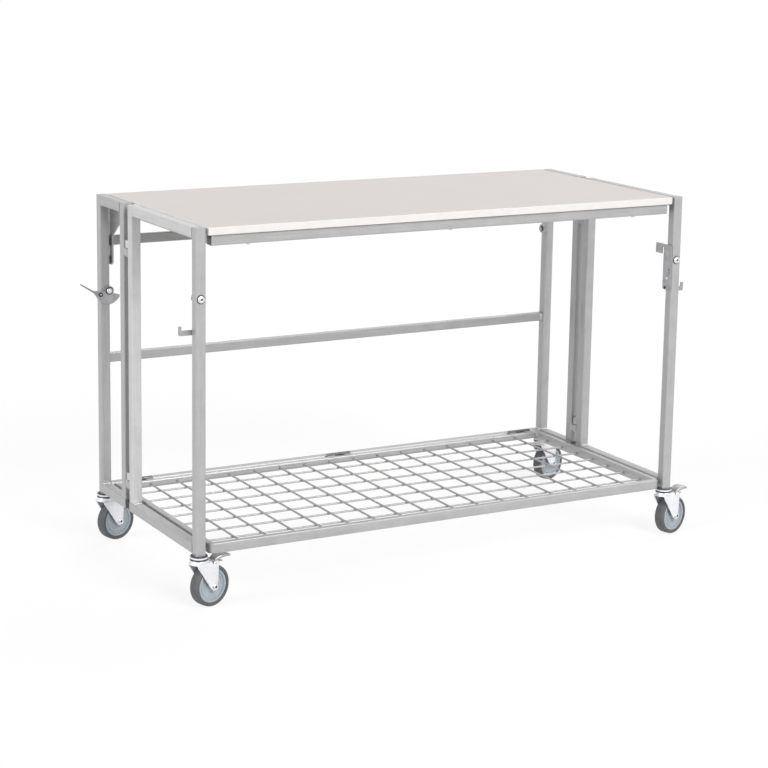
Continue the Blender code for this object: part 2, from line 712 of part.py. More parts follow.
def caster_stem():
    """The caster's fixed half, from the floor up: a plug in the post, a flange and a headed kingpin."""
    head_top = FORK_BRIDGE_TOP - FORK_BRIDGE - JOIN_GAP
    plug_radius = TUBE / 2 - TUBE_WALL - JOIN_GAP
    profile = [
        (KINGPIN_HEAD_RADIUS, head_top - KINGPIN_HEAD),
        (KINGPIN_HEAD_RADIUS, head_top),
        (KINGPIN_RADIUS, head_top),
        (KINGPIN_RADIUS, STEM_BASE),
        (STEM_FLANGE_RADIUS, STEM_BASE),
        (STEM_FLANGE_RADIUS, STEM_BASE + STEM_FLANGE),
        (plug_radius, STEM_BASE + STEM_FLANGE),
        (plug_radius, POST_FOOT + STEM_PLUG),
    ]
    return turned("Z", profile, RACE_STEPS)


def fork_outline():
    """One cheek of the fork, in X and Z from the swivel axis: a wide top that tapers to the axle."""
    heel = (-FORK_HEEL, FORK_TOP - FORK_HEEL_HEIGHT)
    axle = (CASTER_TRAIL, WHEEL_RADIUS)
    away = (heel[0] - axle[0], heel[1] - axle[1])
    slant = degrees(atan2(away[1], away[0]) + acos(FORK_EYE_RADIUS / hypot(*away)))
    toe = (CASTER_TRAIL + FORK_TOE, FORK_TOP)
    outline = [toe, (-FORK_HEEL, FORK_TOP), heel]
    outline += arc(axle, FORK_EYE_RADIUS, slant, 360)
    return outline


def caster_fork():
    """The pressed fork with its ball race on top and its axle, centred on the swivel axis."""
    outline = fork_outline()
    cheeks = [
        prism("Y", outline, *sorted((side * FORK_INSIDE / 2, side * FORK_OUTSIDE / 2)))
        for side in SIDES.values()
    ]
    lap = FORK_INSIDE / 2 + FORK_SHEET / 2
    bridge_low = FORK_BRIDGE_TOP - FORK_BRIDGE
    bridge_front = RACE_RADIUS + FORK_SHEET
    bridge = box("Z", (-FORK_HEEL + FORK_SHEET, bridge_front), (-lap, lap), bridge_low, FORK_BRIDGE_TOP)
    race_top = STEM_BASE - JOIN_GAP
    race = turned("Z", [(RACE_RADIUS, bridge_low + FORK_BRIDGE / 2), (RACE_RADIUS, race_top)], RACE_STEPS)
    head_start = FORK_OUTSIDE / 2 - FORK_SHEET / 4
    head_end = FORK_OUTSIDE / 2 + AXLE_HEAD_LENGTH
    axle_profile = [
        (AXLE_HEAD_RADIUS, -head_end),
        (AXLE_HEAD_RADIUS, -head_start),
        (AXLE_RADIUS, -head_start),
        (AXLE_RADIUS, head_start),
        (AXLE_HEAD_RADIUS, head_start),
        (AXLE_HEAD_RADIUS, head_end),
    ]
    axle = moved(turned("Y", axle_profile, PIN_STEPS), (CASTER_TRAIL, 0.0, WHEEL_RADIUS))
    king_radius = KINGPIN_RADIUS + PIN_GAP
    king_hole = turned("Z", [(king_radius, bridge_low - TUBE), (king_radius, race_top + TUBE)], PIN_STEPS)
    pin_radius = PEDAL_PIN_RADIUS + PIN_GAP
    pin_hole = turned("Y", [(pin_radius, -FORK_OUTSIDE), (pin_radius, FORK_OUTSIDE)], PIN_STEPS)
    pin_hole = moved(pin_hole, (PEDAL_PIN_X, 0.0, PEDAL_PIN_Z))
    return carve(cheeks[0], [cheeks[1], bridge, race, axle], [king_hole, pin_hole])


def tyre():
    """The soft tread, round the wheel's own centre."""
    half = TYRE_WIDTH / 2
    inner = WHEEL_RADIUS - TYRE_DEPTH
    shoulder = WHEEL_RADIUS - TYRE_SHOULDER
    profile = [(inner, -half + HUB_RIM_INSET)]
    profile += [(inner + HUB_RIM_INSET, -half)]
    eased = half - TYRE_SHOULDER
    left = arc((-eased, shoulder), TYRE_SHOULDER, 180, 90, SHOULDER_STEP_DEGREES)
    right = arc((eased, shoulder), TYRE_SHOULDER, 90, 0, SHOULDER_STEP_DEGREES)
    profile += [(radius, along) for along, radius in left + right]
    profile += [(inner + HUB_RIM_INSET, half), (inner, half - HUB_RIM_INSET)]
    return turned("Y", profile, WHEEL_STEPS, ring=True)


def hub():
    """The wheel's moulded centre: a boss on the axle, a thin web and a rim."""
    rim = WHEEL_RADIUS - TYRE_DEPTH - JOIN_GAP
    rim_half = TYRE_WIDTH / 2 - 2 * HUB_RIM_INSET
    boss_half = FORK_INSIDE / 2 - JOIN_GAP
    half_profile = [
        (AXLE_RADIUS + PIN_GAP, boss_half),
        (HUB_BOSS_RADIUS, boss_half),
        (HUB_BOSS_RADIUS, HUB_WEB_HALF),
        (rim - HUB_RIM, HUB_WEB_HALF),
        (rim - HUB_RIM, rim_half),
        (rim, rim_half),
    ]
    profile = half_profile + [(radius, -along) for radius, along in reversed(half_profile)]
    return turned("Y", profile, WHEEL_STEPS, ring=True)


def brake_pedal():
    """A bent sheet pedal on a cross pin, with its eye on its own origin."""
    path = [
        Vector((0.0, 0.0)),
        Vector((PEDAL_NECK_RUN, PEDAL_NECK_RISE)),
        Vector((PEDAL_BLADE_RUN, PEDAL_BLADE_RISE)),
        Vector((PEDAL_TOE_RUN, PEDAL_TOE_RISE)),
        Vector((PEDAL_LIP_RUN, PEDAL_LIP_RISE)),
    ]
    headings = [(after - before).normalized() for before, after in zip(path, path[1:])]
    upper = []
    lower = []
    for i, point in enumerate(path):
        before = headings[max(i - 1, 0)]
        after = headings[min(i, len(headings) - 1)]
        across = Vector((-before.y - after.y, before.x + after.x)).normalized()
        across *= PEDAL_SHEET / 2 / across.dot(Vector((-before.y, before.x)))
        upper.append(tuple(point + across))
        lower.append(tuple(point - across))
    blade = prism("Y", upper + lower[::-1], -PEDAL_WIDTH / 2, PEDAL_WIDTH / 2)
    eye_half = FORK_INSIDE / 2 - JOIN_GAP
    pin_half = FORK_OUTSIDE / 2
    eye_profile = [
        (PEDAL_PIN_RADIUS, -pin_half),
        (PEDAL_PIN_RADIUS, -eye_half),
        (PEDAL_EYE_RADIUS, -eye_half),
        (PEDAL_EYE_RADIUS, eye_half),
        (PEDAL_PIN_RADIUS, eye_half),
        (PEDAL_PIN_RADIUS, pin_half),
    ]
    return carve(blade, [turned("Y", eye_profile, PIN_STEPS)])


def build_rear_frame(root, steel, zinc):
    """The fixed frame: two posts on casters, three rails, and a short hinged-on wing at each end."""
    span = 2 * (POST_INNER_X - JOIN_GAP)
    bottom_z = BOTTOM_RAIL_BASE + TUBE / 2
    flat_y = HALF_DEPTH - FLAT_RAIL_DEPTH / 2
    for label, z in (("upper", TABLE_HEIGHT - UPPER_RAIL_DROP), ("mid", MID_RAIL_HEIGHT)):
        rail = tube("X", span, FLAT_RAIL_DEPTH, TUBE)
        add(f"rear_{label}_rail", rail, steel, root, (0.0, flat_y, z))
    add("rear_bottom_rail", rear_bottom_rail(), steel, root, (0.0, POST_Y, bottom_z))
    top_low = HINGE_POST_Y + TUBE / 2 + JOIN_GAP
    bottom_low = HINGE_POST_Y - TUBE / 2
    high = POST_FACE_Y - JOIN_GAP
    for name, side in SIDES.items():
        x = side * POST_X
        add(f"rear_post_{name}", post(TABLE_HEIGHT - POST_FOOT), steel, root, (x, POST_Y, POST_FOOT))
        add(f"hinge_post_{name}", hinge_post(), steel, root, (x, HINGE_POST_Y, UPRIGHT_BASE))
        top_at = (x, (top_low + high) / 2, TABLE_HEIGHT - TUBE / 2)
        add(f"wing_top_rail_{name}", tube("Y", high - top_low), steel, root, top_at)
        bottom_at = (x, (bottom_low + high) / 2, bottom_z)
        add(f"wing_bottom_rail_{name}", tube("Y", high - bottom_low), steel, root, bottom_at)
        pivot_at = (0.0, POST_Y, TABLETOP_PIVOT_Z)
        add(f"tabletop_pivot_{name}", tabletop_pivot(side), zinc, root, pivot_at)
    add("rocker_stud", rocker_stud(), zinc, root, (ROCKER_X, ROCKER_Y, ROCKER_Z))


def build_end_frame(name, side, root, steel, zinc):
    """One end frame: two uprights and two rails that swing on the wing's hinges, with its hook."""
    x = side * POST_X
    body = body_at(f"{name}_end_frame", root, (x, HINGE_AXIS_Y, BOTTOM_RAIL_BASE))
    front = -POST_FACE_Y + JOIN_GAP
    top_end = END_POST_Y - TUBE / 2 - JOIN_GAP
    bottom_end = END_POST_Y + TUBE / 2
    add(f"end_rear_post_{name}", end_rear_post(), steel, body, (x, END_POST_Y, UPRIGHT_BASE))
    add(f"end_front_post_{name}", front_post(), steel, body, (x, -POST_Y, POST_FOOT))
    top_at = (x, (front + top_end) / 2, TABLE_HEIGHT - TUBE / 2)
    add(f"end_top_rail_{name}", tube("Y", top_end - front), steel, body, top_at)
    bottom_at = (x, (front + bottom_end) / 2, BOTTOM_RAIL_BASE + TUBE / 2)
    add(f"end_bottom_rail_{name}", tube("Y", bottom_end - front), steel, body, bottom_at)
    add(f"hook_bolt_{name}", hook_bolt(), zinc, body, (x, 0.0, HOOK_Z))
    hook_body = body_at(f"{name}_hook", body, (x, HOOK_Y, HOOK_Z))
    add(f"hook_{name}", hook(side), zinc, hook_body, (x, HOOK_Y, HOOK_Z))
    return body


def build_catch(end_frame, zinc):
    """The catch lever on the inner face of the right front post, clear of the tabletop's end."""
    at = (0.0, -POST_Y, CATCH_Z)
    add("catch_stud", catch_stud(), zinc, end_frame, at)
    add("catch_lever", catch_lever(), zinc, body_at("catch", end_frame, at), at)


def build_tabletop(root, steel, zinc, laminate, edging):
    """The board on its tube subframe, hung on two gussets at the rear posts."""
    body = body_at("tabletop", root, (0.0, POST_Y, TABLETOP_PIVOT_Z))
    width = 2 * BOARD_HALF
    core_gap = EDGE_BAND + JOIN_GAP
    core_outline = rectangle(width - 2 * core_gap, FRAME_DEPTH - 2 * core_gap, BOARD_CORNER - core_gap)
    board = prism("Z", core_outline, 0.0, BOARD_THICKNESS)
    board_at = (0.0, 0.0, BOARD_BASE)
    add("tabletop_board", board, laminate, body, board_at)
    add("tabletop_edge_band", edge_band(width, FRAME_DEPTH), edging, body, board_at)
    z = SUBFRAME_TOP - TUBE / 2
    rail_y = HALF_DEPTH - SUBFRAME_RECESS - TUBE / 2
    front_half = BOARD_HALF - SUBFRAME_END_INSET
    add("subframe_front_rail", tube("X", 2 * front_half), steel, body, (0.0, -rail_y, z))
    rear_half = BRACKET_INNER_X - JOIN_GAP
    add("subframe_rear_rail", tube("X", 2 * rear_half), steel, body, (0.0, rail_y, z))
    side_length = 2 * (rail_y - TUBE / 2 - JOIN_GAP)
    for name, side in SIDES.items():
        side_at = (side * (front_half - TUBE / 2), 0.0, z)
        add(f"subframe_side_rail_{name}", tube("Y", side_length), steel, body, side_at)
        low, high = sorted((side * BRACKET_INNER_X, side * BRACKET_OUTER_X))
        add(f"pivot_bracket_{name}", pivot_bracket(low, high), zinc, body, (0.0, POST_Y, TABLETOP_PIVOT_Z))


def build_shelf(root, steel, wire):
    """The wire shelf in its bent tube frame, hinged on the rear bottom rail."""
    body = body_at("shelf", root, (0.0, SHELF_AXIS_Y, SHELF_AXIS_Z))
    add("shelf_hoop", shelf_hoop(), steel, body, (0.0, 0.0, BOTTOM_RAIL_BASE + TUBE / 2))
    rail, at = shelf_rear_rail()
    add("shelf_rear_rail", rail, steel, body, at)
    add("shelf_wire_grid", wire_grid(), wire, body, (0.0, 0.0, BOTTOM_RAIL_TOP - WIRE_DROP))


def build_casters(carriers, zinc, rubber, plastic):
    """Four swivel casters, all turned the same way, with a brake pedal on each front one."""
    stem_mesh = caster_stem()
    fork_mesh = caster_fork()
    tyre_mesh = tyre()
    hub_mesh = hub()
    pedal_mesh = brake_pedal()
    for (row, name), carrier in carriers.items():
        x = SIDES[name] * POST_X
        y = -POST_Y if row == "front" else POST_Y
        label = f"{row}_{name}"
        add(f"caster_stem_{label}", stem_mesh, zinc, carrier, (x, y, 0.0))
        swivel = body_at(f"swivel_{label}", carrier, (x, y, FORK_TOP))
        swivel.rotation_euler.z = CASTER_TURN
        add(f"caster_fork_{label}", fork_mesh, zinc, swivel, (x, y, 0.0))
        wheel_at = (x + CASTER_TRAIL, y, WHEEL_RADIUS)
        wheel = body_at(f"wheel_{label}", swivel, wheel_at)
        add(f"tyre_{label}", tyre_mesh, rubber, wheel, wheel_at)
        add(f"hub_{label}", hub_mesh, plastic, wheel, wheel_at)
        if row == "front":
            pedal_at = (x + PEDAL_PIN_X, y, PEDAL_PIN_Z)
            pedal = body_at(f"pedal_{name}", swivel, pedal_at)
            add(f"brake_pedal_{name}", pedal_mesh, zinc, pedal, pedal_at)


def centre(root):
    """Shift the whole table so that the origin lies under the middle of its box."""
    bpy.context.view_layer.update()
    pieces = [obj for obj in bpy.data.objects if obj.type == "MESH"]
    corners = [piece.matrix_world @ vertex.co for piece in pieces for vertex in piece.data.vertices]
    for axis in (0, 1):
        places = [corner[axis] for corner in corners]
        root.location[axis] = -(min(places) + max(places)) / 2


def build():
    for obj in list(bpy.data.objects):
        bpy.data.objects.remove(obj)
    steel = finish("galvanised_steel", (0.52, 0.52, 0.53), 0.42, 0.85)
    zinc = finish("zinc_plate", (0.72, 0.73, 0.75), 0.28, 0.95)
    wire = finish("zinc_wire", (0.58, 0.58, 0.58), 0.35, 0.90)
    laminate = finish("grey_laminate", (0.69, 0.66, 0.65), 0.45, 0.0)
    edging = finish("white_edging", (0.90, 0.89, 0.88), 0.40, 0.0)
    rubber = finish("grey_rubber", (0.07, 0.07, 0.075), 0.65, 0.0)
    plastic = finish("blue_grey_plastic", (0.30, 0.33, 0.36), 0.45, 0.0)

    root = bpy.data.objects.new("table", None)
    bpy.context.collection.objects.link(root)
    build_rear_frame(root, steel, zinc)
    end_frames = {name: build_end_frame(name, side, root, steel, zinc) for name, side in SIDES.items()}
    build_catch(end_frames["right"], zinc)
    build_tabletop(root, steel, zinc, laminate, edging)
    build_shelf(root, steel, wire)
    rocker = body_at("rocker", root, (ROCKER_X, ROCKER_Y, ROCKER_Z))
    add("rocker_latch", rocker_latch(), zinc, rocker, (ROCKER_X, ROCKER_Y, ROCKER_Z))
    carriers = {("front", name): end_frames[name] for name in SIDES}
    carriers.update({("rear", name): root for name in SIDES})
    build_casters(carriers, zinc, rubber, plastic)
    centre(root)


build()
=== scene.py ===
"""Dresses the folding work table: surfaces, casters, wire shelf, fasteners, welds, light and camera."""

import json
from math import atan2, cos, pi, radians, sin, sqrt

import bmesh
import bpy
from mathutils import Matrix, Vector


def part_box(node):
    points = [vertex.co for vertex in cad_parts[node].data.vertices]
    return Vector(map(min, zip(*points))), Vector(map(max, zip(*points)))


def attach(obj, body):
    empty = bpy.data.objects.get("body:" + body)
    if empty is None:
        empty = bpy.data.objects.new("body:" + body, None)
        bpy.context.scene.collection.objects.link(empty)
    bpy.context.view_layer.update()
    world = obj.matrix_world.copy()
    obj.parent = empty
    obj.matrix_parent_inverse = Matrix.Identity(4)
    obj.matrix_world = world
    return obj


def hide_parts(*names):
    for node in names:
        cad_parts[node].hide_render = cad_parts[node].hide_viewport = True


# Camera, fitted to the edges of the frame in the photograph.
CAMERA_PLACE = (-2.5901, -4.5962, 1.6240)
CAMERA_TURN = (79.0809, -0.8877, -28.8127)
CAMERA_LENS = 98.974
CAMERA_SENSOR = 36.0
CAMERA_SHIFT = (0.0059, -0.1)

# Floor and sky: what bounced light meets, and what is looked at.
FLOOR_REACH = 60.0
FLOOR_BOUNCE = 0.78
FLOOR_SHADED = 0.22
FLOOR_GLOW = 0.825
SKY_BOUNCE = 0.21
SKY_SEEN = 1.0

# Tubes and wires.
TUBE = 0.025
TUBE_WALL = 0.0015
SHELF_TUBE = 0.015
HOOP_BEND = 0.0095
HOOP_CORNER = 0.0032
HOOP_BORE = 0.012
WIRE_RADIUS = 0.0026
WIRE_PITCH = 0.0735
LONG_WIRES = 7
CROSS_WIRES = 16
END_WELD = (0.0036, 0.0036, 0.0033)
CROSS_WELD = (0.0031, 0.0031, 0.0030)

# Casters. Heights are above the floor.
WHEEL_RADIUS = 0.050
TYRE_HALF = 0.014
TYRE_EASE = 0.0045
AXLE_RUN = 0.032
FORK_HALF = 0.0205
FORK_RIB = 0.0020
FORK_CHEEK = FORK_HALF - FORK_RIB
FORK_SHEET = 0.0028
FORK_EYE = 0.0105
FORK_FOLD = 0.106
FORK_BEND = 0.006
FORK_TOP = 0.112
CROWN_RADIUS = 0.0248
FLANGE_TOP = 0.1257
FLANGE_BASE = 0.1207
STEM_TOP = 0.156
PEDAL_SHEET = 0.0020

# Hinges, screws, plugs and welds.
SHELF_HINGE_SPREAD = 0.575
BARREL_RADIUS = 0.0042
BARREL_FIXED = 0.0137
BARREL_MOVING = (0.0148, 0.0350)
HINGE_HEIGHTS = (0.787, 0.206)
HINGE_HALF = 0.020
HINGE_SPLIT = 0.001
HINGE_WEB = 0.016
SCREW_INSET = 0.097
SEAT_GAP = 0.0003
NUT_GAP = 0.0002
NUT_REACH = 0.002
BOLT_RADIUS = 0.0038
ROCKER_STOP = (0.0225, 0.0085)
CATCH_RIVET = (-0.2925, 0.6836)
CATCH_HOLE_SHADE = (-0.2852, 0.6590)
PLUG_GAP = 0.0017
BEAD_STEP = 0.0007
BEAD_TAPER = 0.0022
RIPPLE = 0.0026
CLEAR = 0.0025
PLATE_EASE = 0.0004

SIDES = ("left", "right")
ROUND = 64
UP, DOWN = (0, 0, 1), (0, 0, -1)
LEFT, RIGHT = (-1, 0, 0), (1, 0, 0)
AHEAD, BACK = (0, -1, 0), (0, 1, 0)

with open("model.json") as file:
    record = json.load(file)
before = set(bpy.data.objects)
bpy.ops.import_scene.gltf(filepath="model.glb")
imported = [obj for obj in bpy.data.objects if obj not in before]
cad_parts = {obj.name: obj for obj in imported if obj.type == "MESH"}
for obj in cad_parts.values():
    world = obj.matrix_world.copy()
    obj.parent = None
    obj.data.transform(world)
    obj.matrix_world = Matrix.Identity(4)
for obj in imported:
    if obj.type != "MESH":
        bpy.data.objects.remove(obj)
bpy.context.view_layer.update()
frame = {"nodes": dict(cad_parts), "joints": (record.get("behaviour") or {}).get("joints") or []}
nodes = frame["nodes"]
joints = {joint["child"]: joint for joint in frame["joints"]}


# Materials

class Finish:
    """A material that is filled in node by node."""

    def __init__(self, name, **values):
        self.material = bpy.data.materials.new(name)
        self.material.use_nodes = True
        self.tree = self.material.node_tree
        self.shader = self.tree.nodes["Principled BSDF"]
        for socket, value in values.items():
            self.shader.inputs[socket.replace("_", " ")].default_value = value

    def add(self, kind, **values):
        node = self.tree.nodes.new("ShaderNode" + kind)
        for socket, value in values.items():
            node.inputs[socket.replace("_", " ")].default_value = value
        return node

    def link(self, source, output, target, socket):
        self.tree.links.new(source.outputs[output], target.inputs[socket])

    def noise(self, scale, stretch=(1.0, 1.0, 1.0), detail=3.0, roughness=0.55):
        place = self.add("TexCoord")
        mapping = self.add("Mapping", Scale=stretch)
        noise = self.add("TexNoise", Scale=scale, Detail=detail, Roughness=roughness)
        self.link(place, "Object", mapping, "Vector")
        self.link(mapping, "Vector", noise, "Vector")
        return noise

    def cells(self, scale):
        place = self.add("TexCoord")
        cells = self.add("TexVoronoi", Scale=scale)
        self.link(place, "Object", cells, "Vector")
        return cells

    def ramp(self, source, output, *stops):
        ramp = self.add("ValToRGB")
        elements = ramp.color_ramp.elements
        while len(elements) < len(stops):
            elements.new(0.5)
        for element, (place, colour) in zip(elements, stops):
            element.position = place
            element.color = (*colour, 1.0)
        self.link(source, output, ramp, "Fac")
        return ramp.outputs["Color"]

    def product(self, first, second):
        """The socket of two colours multiplied."""
        mix = self.tree.nodes.new("ShaderNodeMix")
        mix.data_type = "RGBA"
        mix.blend_type = "MULTIPLY"
        mix.inputs[0].default_value = 1.0
        self.tree.links.new(first, mix.inputs[6])
        self.tree.links.new(second, mix.inputs[7])
        return mix.outputs[2]

    def colour(self, socket):
        self.tree.links.new(socket, self.shader.inputs["Base Color"])

    def rough(self, source, output, low, high):
        span = self.add("MapRange", To_Min=low, To_Max=high)
        self.link(source, output, span, "Value")
        self.tree.links.new(span.outputs["Result"], self.shader.inputs["Roughness"])

    def bump(self, source, output, strength, distance):
        bump = self.add("Bump", Strength=strength, Distance=distance)
        self.link(source, output, bump, "Height")
        self.tree.links.new(bump.outputs["Normal"], self.shader.inputs["Normal"])


def grey(value):
    """A neutral colour."""
    return (value, value, value)


def galvanised(name, along, low=0.435, high=0.545):
    """Satin galvanised tube, with fine drawing lines along its length and a faint zinc bloom."""
    finish = Finish(name, Metallic=0.45)
    stretch = [1.0, 1.0, 1.0]
    stretch["XYZ".index(along)] = 0.012
    lines = finish.noise(620.0, stretch, detail=4.0)
    bloom = finish.noise(26.0, detail=2.0)
    spangle = finish.cells(150.0)
    drawn = finish.ramp(lines, "Fac", (0.25, grey(low)), (0.75, grey(high)))
    cloud = finish.ramp(bloom, "Fac", (0.30, grey(0.92)), (0.70, grey(1.0)))
    flake = finish.ramp(spangle, "Color", (0.0, grey(0.965)), (1.0, grey(1.0)))
    finish.colour(finish.product(finish.product(drawn, cloud), flake))
    finish.rough(bloom, "Fac", 0.34, 0.50)
    finish.bump(lines, "Fac", 0.06, 0.0004)
    return finish.material


def plated(name, low, high, rough, metallic=0.85):
    """Plated or bare bright metal, slightly cloudy."""
    finish = Finish(name, Metallic=metallic)
    cloud = finish.noise(70.0, detail=3.0)
    grain = finish.noise(900.0, detail=2.0)
    finish.colour(finish.ramp(cloud, "Fac", (0.3, low), (0.7, high)))
    finish.rough(grain, "Fac", rough - 0.05, rough + 0.07)
    finish.bump(grain, "Fac", 0.04, 0.0003)
    return finish.material


def rubber():
    """Grey tyre rubber with a little dust."""
    finish = Finish("tyre_rubber", Metallic=0.0, Specular_IOR_Level=0.35)
    dust = finish.noise(45.0, detail=4.0)
    grain = finish.noise(1600.0, detail=2.0)
    finish.colour(finish.ramp(dust, "Fac", (0.3, (0.105, 0.106, 0.110)), (0.7, (0.150, 0.151, 0.155))))
    finish.rough(dust, "Fac", 0.50, 0.68)
    finish.bump(grain, "Fac", 0.12, 0.0004)
    return finish.material


def moulded(name, low, high):
    """Moulded plastic with a fine spark-eroded grain."""
    finish = Finish(name, Metallic=0.0)
    flow = finish.noise(38.0, detail=3.0)
    grain = finish.noise(1500.0, detail=2.0)
    finish.colour(finish.ramp(flow, "Fac", (0.3, low), (0.7, high)))
    finish.rough(grain, "Fac", 0.36, 0.48)
    finish.bump(grain, "Fac", 0.08, 0.0003)
    return finish.material


def laminate():
    """Pale warm grey laminate with a fine pearl fleck."""
    finish = Finish("pale_laminate", Metallic=0.0)
    fleck = finish.noise(1100.0, detail=3.0, roughness=0.7)
    drift = finish.noise(5.0, detail=2.0)
    speck = finish.ramp(fleck, "Fac", (0.32, (0.690, 0.634, 0.614)), (0.62, (0.775, 0.717, 0.693)))
    cloud = finish.ramp(drift, "Fac", (0.3, grey(0.975)), (0.7, grey(1.0)))
    finish.colour(finish.product(speck, cloud))
    finish.rough(fleck, "Fac", 0.42, 0.54)
    finish.bump(fleck, "Fac", 0.05, 0.0002)
    return finish.material


steel = {axis: galvanised("galvanised_" + axis.lower(), axis) for axis in "XYZ"}
# Painted light: a lighter copy of the galvanised steel, for the left end frame's rear upright and top rail,
# which stand in more light.
lit_steel = {axis: galvanised("lit_galvanised_" + axis.lower(), axis, 0.595, 0.725) for axis in "YZ"}
# Painted shade: a darker copy of the galvanised steel, for the rear upper rail under the tabletop's shadow.
shaded_steel = galvanised("shaded_galvanised_x", "X", 0.355, 0.445)
zinc = plated("bright_zinc", (0.70, 0.72, 0.75), (0.82, 0.83, 0.85), 0.26)
dull_zinc = plated("dull_zinc", (0.34, 0.34, 0.35), (0.46, 0.46, 0.47), 0.36)
pedal_zinc = plated("pedal_zinc", (0.36, 0.36, 0.37), (0.50, 0.50, 0.51), 0.34, metallic=0.60)
pressed_zinc = plated("pressed_zinc", (0.84, 0.86, 0.89), (0.92, 0.93, 0.95), 0.30, metallic=0.50)
# Painted light and shade: one wire in two copies, lighter for the long wires and darker for the cross wires.
lit_long_wire = plated("lit_long_wire", grey(0.40), grey(0.51), 0.36, metallic=0.45)
shaded_cross_wire = plated("shaded_cross_wire", grey(0.33), grey(0.42), 0.36, metallic=0.45)
weld_steel = plated("weld_steel", (0.50, 0.50, 0.51), (0.62, 0.62, 0.63), 0.34, metallic=0.60)
# Partly painted shade: the wire welds are darker than bare weld metal, standing for the shade at the wire
# ends.
spot_weld_and_shade = plated("spot_weld_and_shade", grey(0.20), grey(0.29), 0.42, metallic=0.50)
# Partly painted shade: the shelf hinges' barrels are darker than the zinc, standing for the shade in the
# hinge gap.
barrel_steel_and_shade = plated("barrel_steel_and_shade", (0.13, 0.13, 0.135), (0.19, 0.19, 0.195), 0.34, metallic=0.60)
black_steel = plated("black_steel", (0.050, 0.050, 0.052), (0.085, 0.085, 0.088), 0.38, metallic=0.50)
tread = rubber()
hub_plastic = moulded("hub_plastic", (0.395, 0.447, 0.487), (0.465, 0.517, 0.557))
edging = moulded("white_edging", (0.865, 0.840, 0.820), (0.920, 0.895, 0.875))
# Partly painted shade: a dark moulding for the caster's seal rings, which stand in the shade of the gaps
# around the swivel.
seal_and_gap_shade = moulded("dark_seal_and_gap_shade", (0.055, 0.055, 0.058), (0.080, 0.080, 0.083))
plug_plastic = moulded("plug_plastic", (0.130, 0.130, 0.132), (0.170, 0.170, 0.172))
board_face = laminate()


# Mesh helpers

def stand(name, data):
    """A new object in the scene."""
    made = bpy.data.objects.new(name, data)
    bpy.context.scene.collection.objects.link(made)
    return made


def piece(name, body, material, vertices, faces, sharp=35.0, second=None):
    """A new object that rides on a body, smooth except at sharp edges.

    second is another (material, (vertices, faces)) of the same piece.
    """
    count = len(faces)
    if second:
        vertices, faces = joined((vertices, faces), second[1])
    mesh = bpy.data.meshes.new(name)
    mesh.from_pydata([tuple(v) for v in vertices], [], faces)
    mesh.polygons.foreach_set("material_index", [int(i >= count) for i in range(len(faces))])
    cleaner = bmesh.new()
    cleaner.from_mesh(mesh)
    bmesh.ops.remove_doubles(cleaner, verts=cleaner.verts, dist=1e-6)
    bmesh.ops.recalc_face_normals(cleaner, faces=cleaner.faces)
    cleaner.to_mesh(mesh)
    cleaner.free()
    mesh.polygons.foreach_set("use_smooth", [True] * len(mesh.polygons))
    mesh.set_sharp_from_angle(angle=radians(sharp))
    mesh.materials.append(material)
    if second:
        mesh.materials.append(second[0])
    made = stand(name, mesh)
    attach(made, body)
    return made


def joined(*parts):
    """Several (vertices, faces) pairs as one."""
    vertices = []
    faces = []
    for some_vertices, some_faces in parts:
        start = len(vertices)
        vertices += some_vertices
        faces += [[start + i for i in face] for face in some_faces]
    return vertices, faces


def placed(matrix, part):
    """A (vertices, faces) pair moved by a matrix."""
    vertices, faces = part
    return [matrix @ Vector(v) for v in vertices], faces


def quads(rows, count, closed=True):
    """The faces between neighbouring rows of points, count points to a row."""
    faces = []
    for row in range(rows - 1):
        low, high = row * count, (row + 1) * count
        for i in range(count if closed else count - 1):
            after = (i + 1) % count
            faces.append([low + i, low + after, high + after, high + i])
    return faces


def strip(below, above):
    """The faces between two rows of point numbers."""
    return [[below[i], below[i + 1], above[i + 1], above[i]] for i in range(len(below) - 1)]


def hexed(radius, angle):
    """How far a hexagon reaches at an angle, with radius to its corners."""
    return radius * cos(pi / 6) / cos(angle % (pi / 3) - pi / 6)


def lathe(profile, steps=ROUND):
    """(radius, along) points turned about local Z. A third item makes that row a hexagon."""
    vertices = []
    for radius, along, *hexagon in profile:
        for i in range(steps):
            angle = 2 * pi * i / steps
            reach = hexed(radius, angle) if hexagon else radius
            vertices.append(Vector((reach * cos(angle), reach * sin(angle), along)))
    return vertices, quads(len(profile), steps)


def ring(profile, steps=ROUND):
    """A closed profile turned about local Z."""
    return lathe(profile + profile[:1], steps)


def rounded(points, radius, steps=4):
    """A closed outline with each corner eased."""
    result = []
    count = len(points)
    for i in range(count):
        before, here, after = (Vector(points[(i + k) % count]) for k in (-1, 0, 1))
        into = (before - here).normalized()
        out = (after - here).normalized()
        reach = min(radius, (before - here).length / 2.2, (after - here).length / 2.2)
        start, end = here + into * reach, here + out * reach
        for k in range(steps + 1):
            t = k / steps
            result.append(start * (1 - t) ** 2 + here * 2 * t * (1 - t) + end * t ** 2)
    return result


def plate(outline, low, high, ease):
    """A flat outline in local X and Y, from low to high in Z, with eased rims."""
    count = len(outline)
    levels = [(low, ease), (low + ease, 0.0), (high - ease, 0.0), (high, ease)]
    normals = []
    for i in range(count):
        along = (outline[(i + 1) % count] - outline[i - 1]).normalized()
        normals.append(Vector((along.y, -along.x)))
    area = sum(outline[i - 1].x * outline[i].y - outline[i].x * outline[i - 1].y for i in range(count))
    turn = 1.0 if area > 0 else -1.0
    vertices = []
    for z, inset in levels:
        for point, normal in zip(outline, normals):
            inner = point - normal * inset * turn
            vertices.append(Vector((inner.x, inner.y, z)))
    caps = [list(range(count))[::-1], list(range(3 * count, 4 * count))]
    return vertices, caps + quads(len(levels), count)


